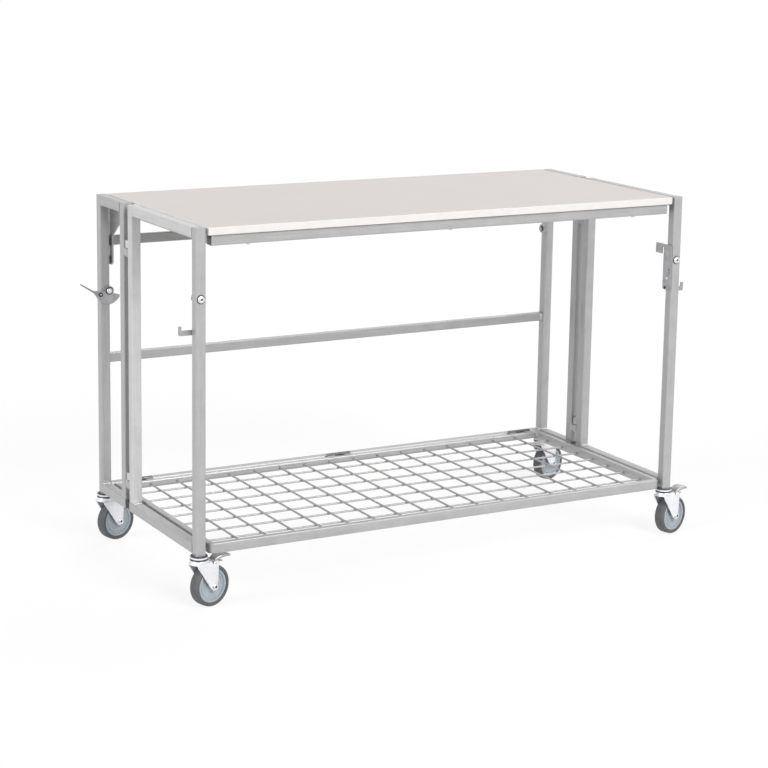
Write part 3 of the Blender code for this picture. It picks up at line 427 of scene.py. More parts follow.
def facing(place, towards):
    """A frame at a place whose Z looks along a direction."""
    turn = Vector((0.0, 0.0, 1.0)).rotation_difference(Vector(towards)).to_matrix().to_4x4()
    return Matrix.Translation(Vector(place)) @ turn


def rod(start, end, radius, steps=12, ease=0.0004):
    """A round bar with eased ends."""
    axis = Vector(end) - Vector(start)
    length = axis.length
    profile = [
        (0.0, 0.0), (radius - ease, 0.0), (radius, ease),
        (radius, length - ease), (radius - ease, length), (0.0, length),
    ]
    return placed(facing(start, axis), lathe(profile, steps))


# Wheels and casters

def caster_matrix(corner):
    """From the caster's own frame, X towards its wheel and Z up from the floor, to the row frame."""
    pivot = Vector(joints["swivel_" + corner]["pos_m"])
    wheel = Vector(joints["wheel_" + corner]["pos_m"])
    run = wheel - pivot
    turn = Matrix.Rotation(atan2(run.y, run.x), 4, "Z")
    return Matrix.Translation((pivot.x, pivot.y, 0.0)) @ turn


def arc(centre, radius, start, end, steps):
    """Points on a circle, between two angles in degrees."""
    span = [radians(start + (end - start) * i / steps) for i in range(steps + 1)]
    return [(centre[0] + radius * cos(a), centre[1] + radius * sin(a)) for a in span]


def tyre_profile():
    """Radius and offset of the tread: square shoulders eased, a slight crown, a bead against the hub."""
    half, ease = TYRE_HALF, TYRE_EASE
    outer = WHEEL_RADIUS - 0.0003
    profile = [(0.0405, -half + 0.0030), (0.0412, -half + 0.0012), (0.0424, -half)]
    profile += [(r, z) for z, r in arc((-half + ease, outer - ease), ease, 180, 96, 6)]
    profile += [(WHEEL_RADIUS, 0.0)]
    profile += [(r, z) for z, r in arc((half - ease, outer - ease), ease, 84, 0, 6)]
    profile += [(0.0424, half), (0.0412, half - 0.0012), (0.0405, half - 0.0030)]
    return profile


def hub_profile():
    """Radius and offset of the moulded centre: boss, web with two rings, rim."""
    side = [
        (0.0044, 0.0171), (0.0098, 0.0171), (0.0112, 0.0162), (0.0120, 0.0084), (0.0132, 0.0074),
        (0.0196, 0.0070), (0.0202, 0.0084), (0.0208, 0.0088),
        (0.0222, 0.0088), (0.0228, 0.0084), (0.0234, 0.0070),
        (0.0282, 0.0070), (0.0288, 0.0088), (0.0294, 0.0092),
        (0.0308, 0.0092), (0.0314, 0.0088), (0.0322, 0.0074),
        (0.0344, 0.0076), (0.0350, 0.0110), (0.0357, 0.0117), (0.0399, 0.0117), (0.0407, 0.0110),
    ]
    return side + [(radius, -along) for radius, along in reversed(side)]


def fork_edges(z):
    """Where a cheek starts and ends along the caster at a height."""
    eye_z, eye = WHEEL_RADIUS, FORK_EYE
    heel_x, heel_z = -sqrt(CROWN_RADIUS ** 2 - FORK_CHEEK ** 2), 0.1035
    toe_x = 0.046
    dx, dz = AXLE_RUN - heel_x, eye_z - heel_z
    slant = atan2(dz, dx)
    along = sqrt(dx * dx + dz * dz - eye * eye)
    lean = slant - atan2(eye, along)
    touch = (heel_x + along * cos(lean), heel_z + along * sin(lean))
    if z >= heel_z:
        left = heel_x
    elif z >= touch[1]:
        left = heel_x + (heel_z - z) / (heel_z - touch[1]) * (touch[0] - heel_x)
    else:
        left = AXLE_RUN - sqrt(max(0.0, eye * eye - (z - eye_z) ** 2))
    if z >= eye_z:
        right = AXLE_RUN + eye + (toe_x - AXLE_RUN - eye) * (z - eye_z) / (FORK_TOP - eye_z)
    else:
        right = AXLE_RUN + sqrt(max(0.0, eye * eye - (z - eye_z) ** 2))
    return left, right


def fork_rib(x, z):
    """How far the pressed rib above the axle stands out of the cheek."""
    centre = 0.022 + (FORK_TOP - z) * 0.16
    half, flank = 0.0115, 0.0025
    top, top_fade = 0.107, 0.006
    foot, foot_fade = 0.0385, 0.003
    wide = max(0.0, min(1.0, (half - abs(x - centre)) / flank))
    tall = max(0.0, min(1.0, (top - z) / top_fade, (z - foot) / foot_fade))
    blend = wide * wide * (3 - 2 * wide)
    return FORK_RIB * blend * tall


def fork_sheet():
    """The pressed sheet: two cheeks bent over into a crown, round behind the kingpin, and ears for a pin."""
    columns = 30
    split = 21
    foot, eye_top = 0.0396, 0.0606
    heights = [foot + (FORK_EYE * (1 - cos(pi * i / 12))) for i in range(13)]
    heights += [eye_top + (FORK_FOLD - eye_top) * i / 14 for i in range(1, 15)]
    ear_rise, ear_middle, ear_half = 0.0055, 0.0385, 0.0085
    vertices = []
    faces = []
    edges = []
    for side in (-1, 1):
        rows = []
        for z in heights:
            left, right = fork_edges(z)
            row = []
            for i in range(columns + 1):
                x = left + (right - left) * i / columns
                row.append(len(vertices))
                vertices.append(Vector((x, side * (FORK_CHEEK + fork_rib(x, z)), z)))
            rows.append(row)
        for below, above in zip(rows, rows[1:]):
            faces += strip(below, above)
        ear = []
        for i in range(split + 2, columns + 1):
            x = vertices[rows[-1][i]].x
            rise = ear_rise * sqrt(max(0.0, 1 - ((x - ear_middle) / ear_half) ** 2))
            ear.append(len(vertices))
            vertices.append(Vector((x, side * FORK_CHEEK, FORK_FOLD + rise)))
        faces += strip(rows[-1][split + 2:], ear)
        edges.append(rows[-1][:split + 1])
    turned = []
    for k in range(1, 6):
        angle = pi / 2 * k / 5
        inwards, rise = FORK_BEND * (1 - cos(angle)), (FORK_BEND - 0.0006) * sin(angle)
        turned.append((FORK_CHEEK - inwards, FORK_FOLD + rise))
    flat_y, flat_z = turned[-1]
    across = [(-y, z) for y, z in turned]
    across += [(flat_y * (j / 4 - 1), flat_z) for j in range(1, 8)]
    across += turned[::-1]
    toe = vertices[edges[0][-1]].x
    crown = [edges[0]]
    for y, z in across:
        heel = -sqrt(CROWN_RADIUS ** 2 - y * y)
        crown.append([len(vertices) + i for i in range(split + 1)])
        vertices += [Vector((heel + (toe - heel) * i / split, y, z)) for i in range(split + 1)]
    crown.append(edges[1])
    for below, above in zip(crown, crown[1:]):
        faces += strip(below, above)
    return vertices, faces


def make_caster(corner, fixed_body):
    """One caster: wheel, fork with race and seal, axle bolt, stem with its dust collar; the dark seal and
    collar are partly painted shade of the gaps they fill.
    """
    matrix = caster_matrix(corner)
    axle = matrix @ Matrix.Translation((AXLE_RUN, 0.0, WHEEL_RADIUS)) @ Matrix.Rotation(radians(-90), 4, "X")
    swivel, wheel = "swivel_" + corner, "wheel_" + corner

    tyre = piece("tyre_tread_" + corner, wheel, tread, *placed(axle, ring(tyre_profile(), 96)))
    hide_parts("tyre_" + corner)
    moulding = placed(axle, ring(hub_profile(), 96))
    hub = piece("hub_moulding_" + corner, wheel, hub_plastic, *moulding, sharp=40)
    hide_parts("hub_" + corner)

    fork = piece("fork_pressing_" + corner, swivel, pressed_zinc, *placed(matrix, fork_sheet()))
    thick = fork.modifiers.new("sheet", "SOLIDIFY")
    thick.thickness = FORK_SHEET
    thick.offset = -1.0
    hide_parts("caster_fork_" + corner)

    race = [
        (0.0062, 0.1106), (0.0200, 0.1106), (0.0208, 0.1112), (0.0211, 0.1124),
        (0.0211, 0.1162), (0.0206, 0.1172), (0.0194, 0.1174), (0.0062, 0.1174),
    ]
    cup = piece("ball_race_" + corner, swivel, pressed_zinc, *placed(matrix, ring(race)))
    # Partly painted shade: a dark seal ring over the gap between the ball race and the stem's flange.
    lip = [
        (0.0062, 0.1174), (0.0204, 0.1174), (0.0213, 0.1178),
        (0.0216, 0.1188), (0.0213, 0.1199), (0.0062, 0.1202),
    ]
    piece("race_seal_and_gap_shade_" + corner, swivel, seal_and_gap_shade, *placed(matrix, ring(lip)))

    half = [
        (0.0040, 0.0), (0.0040, 0.0206), (0.0088, 0.0206), (0.0086, 0.0216), (0.0068, 0.0216),
        (0.0068, 0.0222), (0.0064, 0.0240), (0.0054, 0.0246), (0.0038, 0.0246), (0.0034, 0.0243, True),
    ]
    socket = [(0.0034, 0.0243, True), (0.0033, 0.0224, True), (0.0, 0.0222)]
    ends = (axle, axle @ Matrix.Rotation(pi, 4, "X"))
    bolt = joined(*(placed(end, lathe(half, 36)) for end in ends))
    # Painted shade: the sockets' insides get a dark material for the shade in the recess.
    dark = joined(*(placed(end, lathe(socket, 36)) for end in ends))
    pin = piece("axle_bolt_" + corner, swivel, zinc, *bolt, second=(black_steel, dark))

    head = FORK_TOP - 0.0042
    stem = [
        (0.0, head - 0.0030), (0.0078, head - 0.0030), (0.0090, head - 0.0020),
        (0.0090, head), (0.0058, head), (0.0058, FLANGE_BASE), (0.0192, FLANGE_BASE),
        (0.0203, FLANGE_BASE + 0.0008), (0.0207, FLANGE_BASE + 0.0024),
        (0.0204, FLANGE_TOP - 0.0008), (0.0196, FLANGE_TOP),
        (0.0105, FLANGE_TOP), (0.0105, STEM_TOP), (0.0, STEM_TOP),
    ]
    post = piece("stem_turning_" + corner, fixed_body, pressed_zinc, *placed(matrix, lathe(stem)))
    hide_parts("caster_stem_" + corner)
    # Partly painted shade: a dark collar over the joint between the flange and the post.
    collar = [
        (0.0167, FLANGE_TOP), (0.0200, FLANGE_TOP),
        (0.0207, FLANGE_TOP + 0.0006), (0.0206, FLANGE_TOP + 0.0016), (0.0196, FLANGE_TOP + 0.0026),
        (0.0176, FLANGE_TOP + 0.0030), (0.0167, FLANGE_TOP + 0.0030),
    ]
    piece("dust_collar_and_gap_shade_" + corner, fixed_body, seal_and_gap_shade, *placed(matrix, ring(collar)))


def pedal_sheet():
    """A pressed pedal from its pin outwards: neck, crowned tread with turned-down sides, drooping lip."""
    path = [
        (0.000, 0.0000), (0.004, 0.0054), (0.009, 0.0094), (0.017, 0.0132), (0.026, 0.0150),
        (0.035, 0.0146), (0.044, 0.0126), (0.051, 0.0094), (0.055, 0.0052),
    ]
    lip_start, lip_curve = 0.045, 0.002
    halves = [0.0105, 0.0105, 0.0110, 0.0128, 0.0145, 0.0147, 0.0142, 0.0120, 0.0080]
    skirts = [0.0020, 0.0040, 0.0060, 0.0072, 0.0074, 0.0066, 0.0050, 0.0030, 0.0012]
    section = [(1.0, -1.0), (1.0, -0.55), (0.985, -0.20), (0.93, -0.04), (0.80, 0.02), (0.45, 0.06)]
    section = [(-y, z) for y, z in section] + [(0.0, 0.08)] + section[::-1]
    vertices = []
    for (run, rise), half, skirt in zip(path, halves, skirts):
        curve = lip_curve if run > lip_start else 0.0
        for y, z in section:
            vertices.append(Vector((run - curve * y * y, half * y, rise + skirt * z)))
    return vertices, quads(len(path), len(section), closed=False)


def release_tab():
    """The toothed tab below the pedal's tread."""
    tip, root, half, pitch = 0.0300, 0.0272, 0.0085, 0.0034
    outline = [(0.002, -0.0060), (0.020, -half), (tip, -half)]
    for i in range(5):
        y = pitch * i - half
        outline += [(tip, y + 0.0010), (root, y + 0.0017), (tip, y + 0.0024)]
    outline += [(tip, half), (0.020, half), (0.002, 0.0060)]
    points = [Vector(point) for point in outline]
    return placed(Matrix.Rotation(radians(5), 4, "Y"), plate(points, low=-0.0004, high=0.0014, ease=0.0003))


def make_pedal(side):
    """A front caster's brake pedal: blade, pin and release tab."""
    body, node = "pedal_" + side, "brake_pedal_" + side
    pin = Vector(joints[body]["pos_m"])
    corner = caster_matrix("front_" + side)
    place = Matrix.Translation(pin) @ corner.to_3x3().to_4x4()
    blade = piece("pedal_blade_" + side, body, pedal_zinc, *placed(place, pedal_sheet()), sharp=60)
    thick = blade.modifiers.new("sheet", "SOLIDIFY")
    thick.thickness = PEDAL_SHEET
    thick.offset = 0.0
    smooth = blade.modifiers.new("smooth", "SUBSURF")
    smooth.levels = 1
    smooth.render_levels = 1
    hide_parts(node)
    turn = place @ Matrix.Rotation(radians(-90), 4, "X")
    eye = [
        (0.0, -0.0205), (0.0022, -0.0205), (0.0025, -0.0200), (0.0025, -0.0170), (0.0042, -0.0170),
        (0.0042, 0.0170), (0.0025, 0.0170), (0.0025, 0.0200), (0.0022, 0.0205), (0.0, 0.0205),
    ]
    piece("pedal_pin_" + side, body, zinc, *placed(turn, lathe(eye, 24)))
    piece("pedal_tab_" + side, body, pedal_zinc, *placed(place, release_tab()))


for side in SIDES:
    make_caster("front_" + side, side + "_end_frame")
    make_caster("rear_" + side, "rear_frame")
    make_pedal(side)


# Wire shelf

def make_wires():
    """The shelf's round wires, long ones under cross ones, with a weld at each end and crossing; the long and
    cross wires are one wire painted in a lit and a shaded tone.
    """
    low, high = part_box("shelf_wire_grid")
    top = high.z - WIRE_RADIUS
    under = low.z + WIRE_RADIUS
    middle = (low + high) / 2
    rows = [middle.y + (i - (LONG_WIRES - 1) / 2) * WIRE_PITCH for i in range(LONG_WIRES)]
    columns = [middle.x + (i - (CROSS_WIRES - 1) / 2) * WIRE_PITCH for i in range(CROSS_WIRES)]
    long_rods = [rod((low.x, y, under), (high.x, y, under), WIRE_RADIUS) for y in rows]
    cross_rods = [rod((x, low.y, top), (x, high.y, top), WIRE_RADIUS) for x in columns]
    # The cross wires take the shaded copy of the wire's colour.
    across = (shaded_cross_wire, joined(*cross_rods))
    grid = piece("wire_mesh", "shelf", lit_long_wire, *joined(*long_rods), second=across)
    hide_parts("shelf_wire_grid")
    ends = [(x, y, under) for y in rows for x in (low.x, high.x)]
    ends += [(x, y, top) for x in columns for y in (low.y, high.y)]
    crossings = [(x, y, (top + under) / 2) for x in columns for y in rows]
    blobs = [blob(place, END_WELD, i) for i, place in enumerate(ends)]
    blobs += [blob(place, CROSS_WELD, i) for i, place in enumerate(crossings)]
    # The weld drops are real, and their dark colour is partly painted shade.
    piece("wire_welds", "shelf", spot_weld_and_shade, *joined(*blobs), sharp=80)


def swept(path, section, centre_z):
    """A section of (sideways, up) points carried along a level path."""
    vertices = []
    for k, here in enumerate(path):
        before, after = path[max(0, k - 1)], path[min(len(path) - 1, k + 1)]
        along = (after - before).normalized()
        aside = Vector((along.y, -along.x))
        for u, v in section:
            point = here + aside * u
            vertices.append(Vector((point.x, point.y, centre_z + v)))
    return vertices, quads(len(path), len(section))


def make_hoop():
    """The shelf's front and side rails, bent from one tube that is open at its rear ends."""
    low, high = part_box("shelf_hoop")
    half, tall = SHELF_TUBE / 2, TUBE / 2
    level = (low.z + high.z) / 2
    left, right, front, rear = low.x + half, high.x - half, low.y + half, high.y
    bends = arc((left + HOOP_BEND, front + HOOP_BEND), HOOP_BEND, 180, 270, 12)
    bends += arc((right - HOOP_BEND, front + HOOP_BEND), HOOP_BEND, 270, 360, 12)
    across = [Vector(point) for point in bends]

    def section(inset):
        w, h = half - inset, tall - inset
        return rounded([(-w, -h), (w, -h), (w, h), (-w, h)], HOOP_CORNER - inset, 5)

    outside, inside = section(0.0), section(TUBE_WALL)
    count = len(outside)
    rim = [[i, (i + 1) % count, count + (i + 1) % count, count + i] for i in range(count)]
    sides = []
    for start, end in ((Vector((left, rear)), across[0]), (across[-1], Vector((right, rear)))):
        sides.append(swept([start, end], outside, level))
        mouth, deep = (start, end) if start.y > end.y else (end, start)
        bore = swept([mouth, mouth + (deep - mouth).normalized() * HOOP_BORE], inside, level)
        loops = [swept([mouth, deep], loop, level)[0][:count] for loop in (outside, inside)]
        sides += [bore, (loops[0] + loops[1], rim)]
    front_rail = swept(across, outside, level)
    hoop = piece("bent_hoop", "shelf", steel["X"], *front_rail, second=(steel["Y"], joined(*sides)))
    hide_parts("shelf_hoop")


def blob(place, radii, seed):
    """A small cooled drop of weld metal."""
    vertices = []
    rows, columns = 5, 10
    for row in range(rows + 1):
        tilt = pi * row / rows
        for i in range(columns):
            turn = 2 * pi * i / columns
            swell = 1 + 0.10 * sin(3 * turn + 1.7 * seed) * sin(2 * tilt + seed)
            vertices.append(Vector((
                place[0] + radii[0] * swell * sin(tilt) * cos(turn),
                place[1] + radii[1] * swell * sin(tilt) * sin(turn),
                place[2] + radii[2] * swell * cos(tilt),
            )))
    return vertices, quads(rows + 1, columns)


make_wires()
make_hoop()


# Fasteners

def washer(radius, bore, base, height):
    """An eased flat ring, Z outwards from its seat."""
    ease = 0.25 * height
    return ring([
        (bore, base), (radius - ease, base), (radius, base + ease), (radius, base + height - ease),
        (radius - ease, base + height), (bore, base + height),
    ], 48)


def head_side(radius, base, height):
    """The seat and upright side of a round head."""
    side = [(radius, base + 0.12 * height), (radius, base + 0.30 * height)]
    return [(0.0, base), (radius * 0.96, base)] + side


def dome(radius, base, height):
    """A rivet-like head, Z outwards from its seat."""
    side = 0.30 * height
    profile = head_side(radius, base, height)
    for i in range(1, 9):
        angle = pi / 2 * i / 8
        profile.append((radius * cos(angle), base + side + (height - side) * sin(angle)))
    return lathe(profile, 48)


def socket_head(radius, base, height, socket):
    """A button head with a hexagon socket, and the socket's inside, which gets a dark material as painted
    shade of the recess.
    """
    side = 0.30 * height
    crown = radians(62)
    profile = head_side(radius, base, height)
    for i in range(1, 6):
        angle = crown * i / 5
        profile.append((radius * cos(angle), base + side + (height - side) * sin(angle) / sin(crown)))
    top = base + height
    mouth = (socket, top - 0.0003, True)
    profile += [(socket * 1.12, top), mouth]
    floor = top - 0.6 * height
    inside = [mouth, (socket, floor, True), (0.0, floor - 0.0003)]
    return lathe(profile, 48), lathe(inside, 48)


def hex_nut(radius, base, height, stud):
    """A chamfered nut with the end of its bolt standing out of it."""
    top = base + height
    return lathe([
        (0.0, base), (radius * 0.90, base), (radius, base + 0.0005, True), (radius, top - 0.0006, True),
        (radius * 0.88, top), (stud, top), (stud, top + 0.0008),
        (stud - 0.0006, top + 0.0014), (0.0, top + 0.0014),
    ], 48)


def make_hook_bolt(side):
    """A button-headed bolt through the front post and the hook, with washers and a nut."""
    body, node = side + "_end_frame", "hook_bolt_" + side
    low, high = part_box(node)
    x, z = (low.x + high.x) / 2, (low.z + high.z) / 2
    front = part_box("end_front_post_" + side)[0].y
    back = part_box("hook_" + side)[1].y + SEAT_GAP
    ahead = facing((x, front, z), AHEAD)
    behind = facing((x, back, z), BACK)
    head, socket = socket_head(radius=0.0088, base=0.0010, height=0.0042, socket=0.0030)
    shank = rod((x, front, z), (x, back + NUT_REACH, z), BOLT_RADIUS, steps=24)
    nut = hex_nut(radius=0.0080, base=0.0008, height=0.0030, stud=0.0036)
    washer_and_shade_ring = washer(radius=0.0106, bore=0.0040, base=0.0, height=0.0010)
    back_ring = washer(radius=0.0100, bore=0.0040, base=0.0, height=0.0008)
    bright = joined(placed(ahead, head), shank, placed(behind, nut))
    # Partly painted shade: the dark washer under the head also stands for the shade round the head, and the
    # socket's inside is painted dark as the shade of the recess.
    dark = joined(placed(ahead, socket), placed(ahead, washer_and_shade_ring))
    bolt = piece("post_bolt_" + side, body, zinc, *bright, second=(black_steel, dark))
    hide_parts(node)
    piece("nut_washer_" + side, body, zinc, *placed(behind, back_ring))


def make_rocker_fixings():
    """The rocker's bright pivot rivet on a dark washer, and the dark stop rivet beside it."""
    low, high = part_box("rocker_stud")
    x, z = (low.x + high.x) / 2, (low.z + high.z) / 2
    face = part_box("rocker_latch")[0].y
    ahead = facing((x, face - SEAT_GAP, z), AHEAD)
    head = dome(radius=0.0072, base=0.0010, height=0.0046)
    shank = rod((x, high.y, z), (x, face - 0.001, z), radius=0.0039, steps=24)
    under = placed(ahead, washer(radius=0.0100, bore=0.0040, base=0.0, height=0.0010))
    bright = joined(placed(ahead, head), shank)
    stud = piece("rocker_rivet", "rear_frame", zinc, *bright, second=(black_steel, under))
    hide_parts("rocker_stud")
    aside, below = ROCKER_STOP
    beside = facing((x - aside, face, z - below), AHEAD)
    collar = placed(beside, washer(radius=0.0056, bore=0.0022, base=0.0, height=0.0022))
    tip = placed(beside, dome(radius=0.0024, base=0.0, height=0.0026))
    stop = piece("rocker_stop", "rocker", black_steel, *collar, second=(zinc, tip))


def make_pivot_bolt(side):
    """The tabletop's pivot: a spacer on the rear post, the gusset, a dark washer and a domed lock nut."""
    node = "tabletop_pivot_" + side
    low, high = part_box(node)
    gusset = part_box("pivot_bracket_" + side)
    y, z = (low.y + high.y) / 2, (low.z + high.z) / 2
    if side == "left":
        post, near, far, end, inwards = low.x, gusset[0].x, gusset[1].x, high.x, 1.0
    else:
        post, near, far, end, inwards = high.x, gusset[1].x, gusset[0].x, low.x, -1.0
    seat = facing((far + NUT_GAP * inwards, y, z), (inwards, 0.0, 0.0))
    base = facing((post, y, z), (inwards, 0.0, 0.0))
    tall = abs(end - far) - NUT_GAP
    nut = lathe([
        (0.0, 0.0010), (0.0066, 0.0010), (0.0074, 0.0014, True), (0.0074, 0.6 * tall, True),
        (0.0064, 0.66 * tall), (0.0052, 0.90 * tall), (0.0034, tall), (0.0, tall),
    ], 36)
    spacer = washer(radius=0.0080, bore=BOLT_RADIUS, base=0.0, height=abs(near - post) - NUT_GAP)
    shank = rod((post, y, z), (far + NUT_REACH * inwards, y, z), BOLT_RADIUS, steps=24)
    bright = joined(placed(base, spacer), shank, placed(seat, nut))
    dark = placed(seat, washer(radius=0.0080, bore=BOLT_RADIUS, base=0.0, height=0.0010))
    bolt = piece("pivot_bolt_" + side, "rear_frame", dull_zinc, *bright, second=(black_steel, dark))
    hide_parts(node)


def make_catch_fixings():
    """A bright rivet, and a dark disc low on the catch lever painted as the shade of a hole."""
    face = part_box("catch_lever")[0].x
    head = dome(radius=0.0036, base=0.0, height=0.0020)
    # Painted shade: a thin dark disc for the shade of a small hole.
    painted_hole_shade = lathe([
        (0.0042, 0.0), (0.0042, 0.0006), (0.0036, 0.0010), (0.0026, 0.0008), (0.0022, 0.0002), (0.0, 0.0002),
    ], 32)
    bright = placed(facing((face, *CATCH_RIVET), LEFT), head)
    dark = placed(facing((face, *CATCH_HOLE_SHADE), LEFT), painted_hole_shade)
    stop = piece("catch_rivet", "catch", zinc, *bright, second=(black_steel, dark))


def make_subframe_screws():
    """Domed screws with washers under the tabletop's rails."""
    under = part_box("subframe_front_rail")[0].z
    head, socket = socket_head(radius=0.0056, base=0.0008, height=0.0034, socket=0.0021)
    flat_ring = washer(radius=0.0074, bore=0.0030, base=0.0, height=0.0008)
    bright = []
    dark = []
    for rail in ("subframe_front_rail", "subframe_rear_rail"):
        low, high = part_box(rail)
        for x in (low.x + SCREW_INSET, (low.x + high.x) / 2, high.x - SCREW_INSET):
            place = facing((x, (low.y + high.y) / 2, under), DOWN)
            bright += [placed(place, head), placed(place, flat_ring)]
            # Painted shade: the sockets' insides get a dark material for the shade in the recess.
            dark.append(placed(place, socket))
    screws = piece("subframe_screws", "tabletop", zinc, *joined(*bright), second=(black_steel, joined(*dark)))


def end_plug(centre, out, width, height):
    """A pressed-in plug, flush in a tube's end, with its face looking along out."""
    out = Vector(out)
    up = Vector((0.0, 0.0, 1.0))
    matrix = Matrix.Translation(Vector(centre)) @ Matrix((up.cross(out), up, out)).transposed().to_4x4()
    half_w, half_h = width / 2 - PLUG_GAP, height / 2 - PLUG_GAP
    corners = [(-half_w, -half_h), (half_w, -half_h), (half_w, half_h), (-half_w, half_h)]
    outline = rounded(corners, radius=0.0022)
    return placed(matrix, plate(outline, low=-0.0042, high=-0.0004, ease=0.0006))


def make_plugs():
    """Plugs in the open ends of the tubes."""
    def fill(name, body, *plugs):
        piece(name, body, plug_plastic, *joined(*plugs), sharp=50)

    low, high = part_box("subframe_front_rail")
    y, z = (low.y + high.y) / 2, (low.z + high.z) / 2
    pair = [end_plug((x, y, z), out, TUBE, TUBE) for x, out in ((low.x, LEFT), (high.x, RIGHT))]
    fill("subframe_plugs", "tabletop", *pair)
    for side in SIDES:
        low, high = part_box("end_bottom_rail_" + side)
        x, z = (low.x + high.x) / 2, (low.z + high.z) / 2
        fill("end_rail_plug_" + side, side + "_end_frame", end_plug((x, high.y, z), BACK, TUBE, TUBE))
        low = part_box("wing_bottom_rail_" + side)[0]
        fill("wing_rail_plug_" + side, "rear_frame", end_plug((x, low.y, z), AHEAD, TUBE, TUBE))
    low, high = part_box("shelf_hoop")
    z = (low.z + high.z) / 2
    ends = (low.x + SHELF_TUBE / 2, high.x - SHELF_TUBE / 2)
    fill("shelf_plugs", "shelf", *(end_plug((x, high.y, z), BACK, SHELF_TUBE, TUBE) for x in ends))


def make_hinge_trim():
    """Dark bearing rings and pin caps of the barrel hinges, and the shelf hinges' barrels, dark partly as
    painted shade of the hinge gap.
    """
    bearing = washer(radius=0.0112, bore=0.0056, base=-0.0008, height=0.0016)
    cap = lathe([(0.0, -0.0030), (0.0052, -0.0030), (0.0052, -0.0002), (0.0044, 0.0008), (0.0, 0.0012)], 32)
    for side in SIDES:
        axis = Vector(joints[side + "_end_frame"]["pos_m"])
        rings = []
        caps = []
        for height in HINGE_HEIGHTS:
            rings.append(placed(Matrix.Translation((axis.x, axis.y, height)), bearing))
            caps.append(placed(Matrix.Translation((axis.x, axis.y, height + HINGE_HALF)), cap))
        dark = (black_steel, joined(*rings))
        trim = piece("hinge_trim_" + side, side + "_end_frame", zinc, *joined(*caps), second=dark)
    axis = Vector(joints["shelf"]["pos_m"])
    near, far = BARREL_MOVING

    def barrel(start, end):
        return rod((start, axis.y, axis.z), (end, axis.y, axis.z), BARREL_RADIUS, steps=24)

    fixed = []
    moving = []
    for offset in (-SHELF_HINGE_SPREAD, 0.0, SHELF_HINGE_SPREAD):
        x = axis.x + offset
        fixed.append(barrel(x - BARREL_FIXED, x + BARREL_FIXED))
        moving.append(barrel(x - far, x - near))
        moving.append(barrel(x + near, x + far))
    # Partly painted shade: dark sleeves over the shelf hinge knuckles.
    piece("shelf_barrels_fixed", "rear_frame", barrel_steel_and_shade, *joined(*fixed))
    piece("shelf_barrels_moving", "shelf", barrel_steel_and_shade, *joined(*moving))


for side in SIDES:
    make_hook_bolt(side)
    make_pivot_bolt(side)
make_rocker_fixings()
make_catch_fixings()
make_subframe_screws()
make_plugs()
make_hinge_trim()


# Welds

def bead(start, end, first, second, leg, seed):
    """A rippled fillet along a corner between two faces that run along first and second."""
    start, end = Vector(start), Vector(end)
    first, second = Vector(first), Vector(second)
    length = (end - start).length
    steps = max(6, int(length / BEAD_STEP))
    curve = 6
    sunk = (first + second) * SEAT_GAP
    vertices = []
    for k in range(steps + 1):
        along = k / steps
        edge = min(along, 1 - along) * length
        taper = min(1.0, 0.35 + edge / BEAD_TAPER)
        ripple = abs(sin(pi * (along * length / RIPPLE + 0.31 * seed)))
        reach = leg * taper * (0.90 + 0.12 * ripple + 0.05 * sin(5.1 * along + seed))
        here = start + (end - start) * along - sunk
        vertices.append(here)
        for i in range(curve + 1):
            angle = pi / 2 * i / curve
            bulge = 1.0 - 0.16 * sin(2 * angle)
            vertices.append(here + (first * cos(angle) + second * sin(angle)) * reach * bulge)
    row = curve + 2
    caps = [list(range(row))[::-1], list(range(steps * row, steps * row + row))]
    return vertices, quads(steps + 1, row) + caps


class Welds:
    """The beads of one body, gathered into one piece."""

    def __init__(self, body):
        self.body = body
        self.beads = []

    def run(self, start, end, first, second, leg=0.0036):
        self.beads.append(bead(start, end, first, second, leg, len(self.beads)))

    def finish(self):
        beads = piece("welds_" + self.body, self.body, weld_steel, *joined(*self.beads), sharp=70)


def weld_rear_frame():
    """The rails' and wings' beads on the rear frame."""
    welds = Welds("rear_frame")
    ends = (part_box("rear_post_left")[1].x, RIGHT), (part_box("rear_post_right")[0].x, LEFT)
    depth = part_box("rear_post_left")
    for rail in ("rear_upper_rail", "rear_mid_rail"):
        low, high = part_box(rail)
        for x, inwards in ends:
            for z, away in ((low.z, DOWN), (high.z, UP)):
                welds.run((x, low.y + CLEAR, z), (x, high.y - CLEAR, z), inwards, away)
            welds.run((x, low.y, low.z + CLEAR), (x, low.y, high.z - CLEAR), inwards, AHEAD, leg=0.0058)
    low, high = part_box("wing_bottom_rail_left")
    for x, inwards in ends:
        for z, away in ((low.z, DOWN), (high.z, UP)):
            welds.run((x, depth[0].y + CLEAR, z), (x, depth[1].y - CLEAR, z), inwards, away)
    for side in SIDES:
        low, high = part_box("wing_top_rail_" + side)
        x0, x1 = low.x + CLEAR, high.x - CLEAR
        welds.run((x0, low.y, low.z), (x1, low.y, low.z), BACK, DOWN)
        welds.run((x0, high.y, low.z), (x1, high.y, low.z), AHEAD, DOWN)
        low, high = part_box("wing_bottom_rail_" + side)
        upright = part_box("hinge_post_" + side)[1].y
        welds.run((x0, high.y, high.z), (x1, high.y, high.z), AHEAD, UP)
        welds.run((x0, high.y, low.z), (x1, high.y, low.z), AHEAD, DOWN)
        welds.run((x0, upright, high.z), (x1, upright, high.z), BACK, UP)
        weld_knuckles(welds, side, low.y, AHEAD, -HINGE_HALF, -HINGE_SPLIT)
    welds.finish()


def weld_knuckles(welds, side, y, away, base, top):
    """Both sides of each hinge half's web, where it meets its upright."""
    x = joints[side + "_end_frame"]["pos_m"][0]
    for height in HINGE_HEIGHTS:
        for edge, outwards in ((x - HINGE_WEB / 2, LEFT), (x + HINGE_WEB / 2, RIGHT)):
            welds.run((edge, y, height + base), (edge, y, height + top), outwards, away, leg=0.0022)


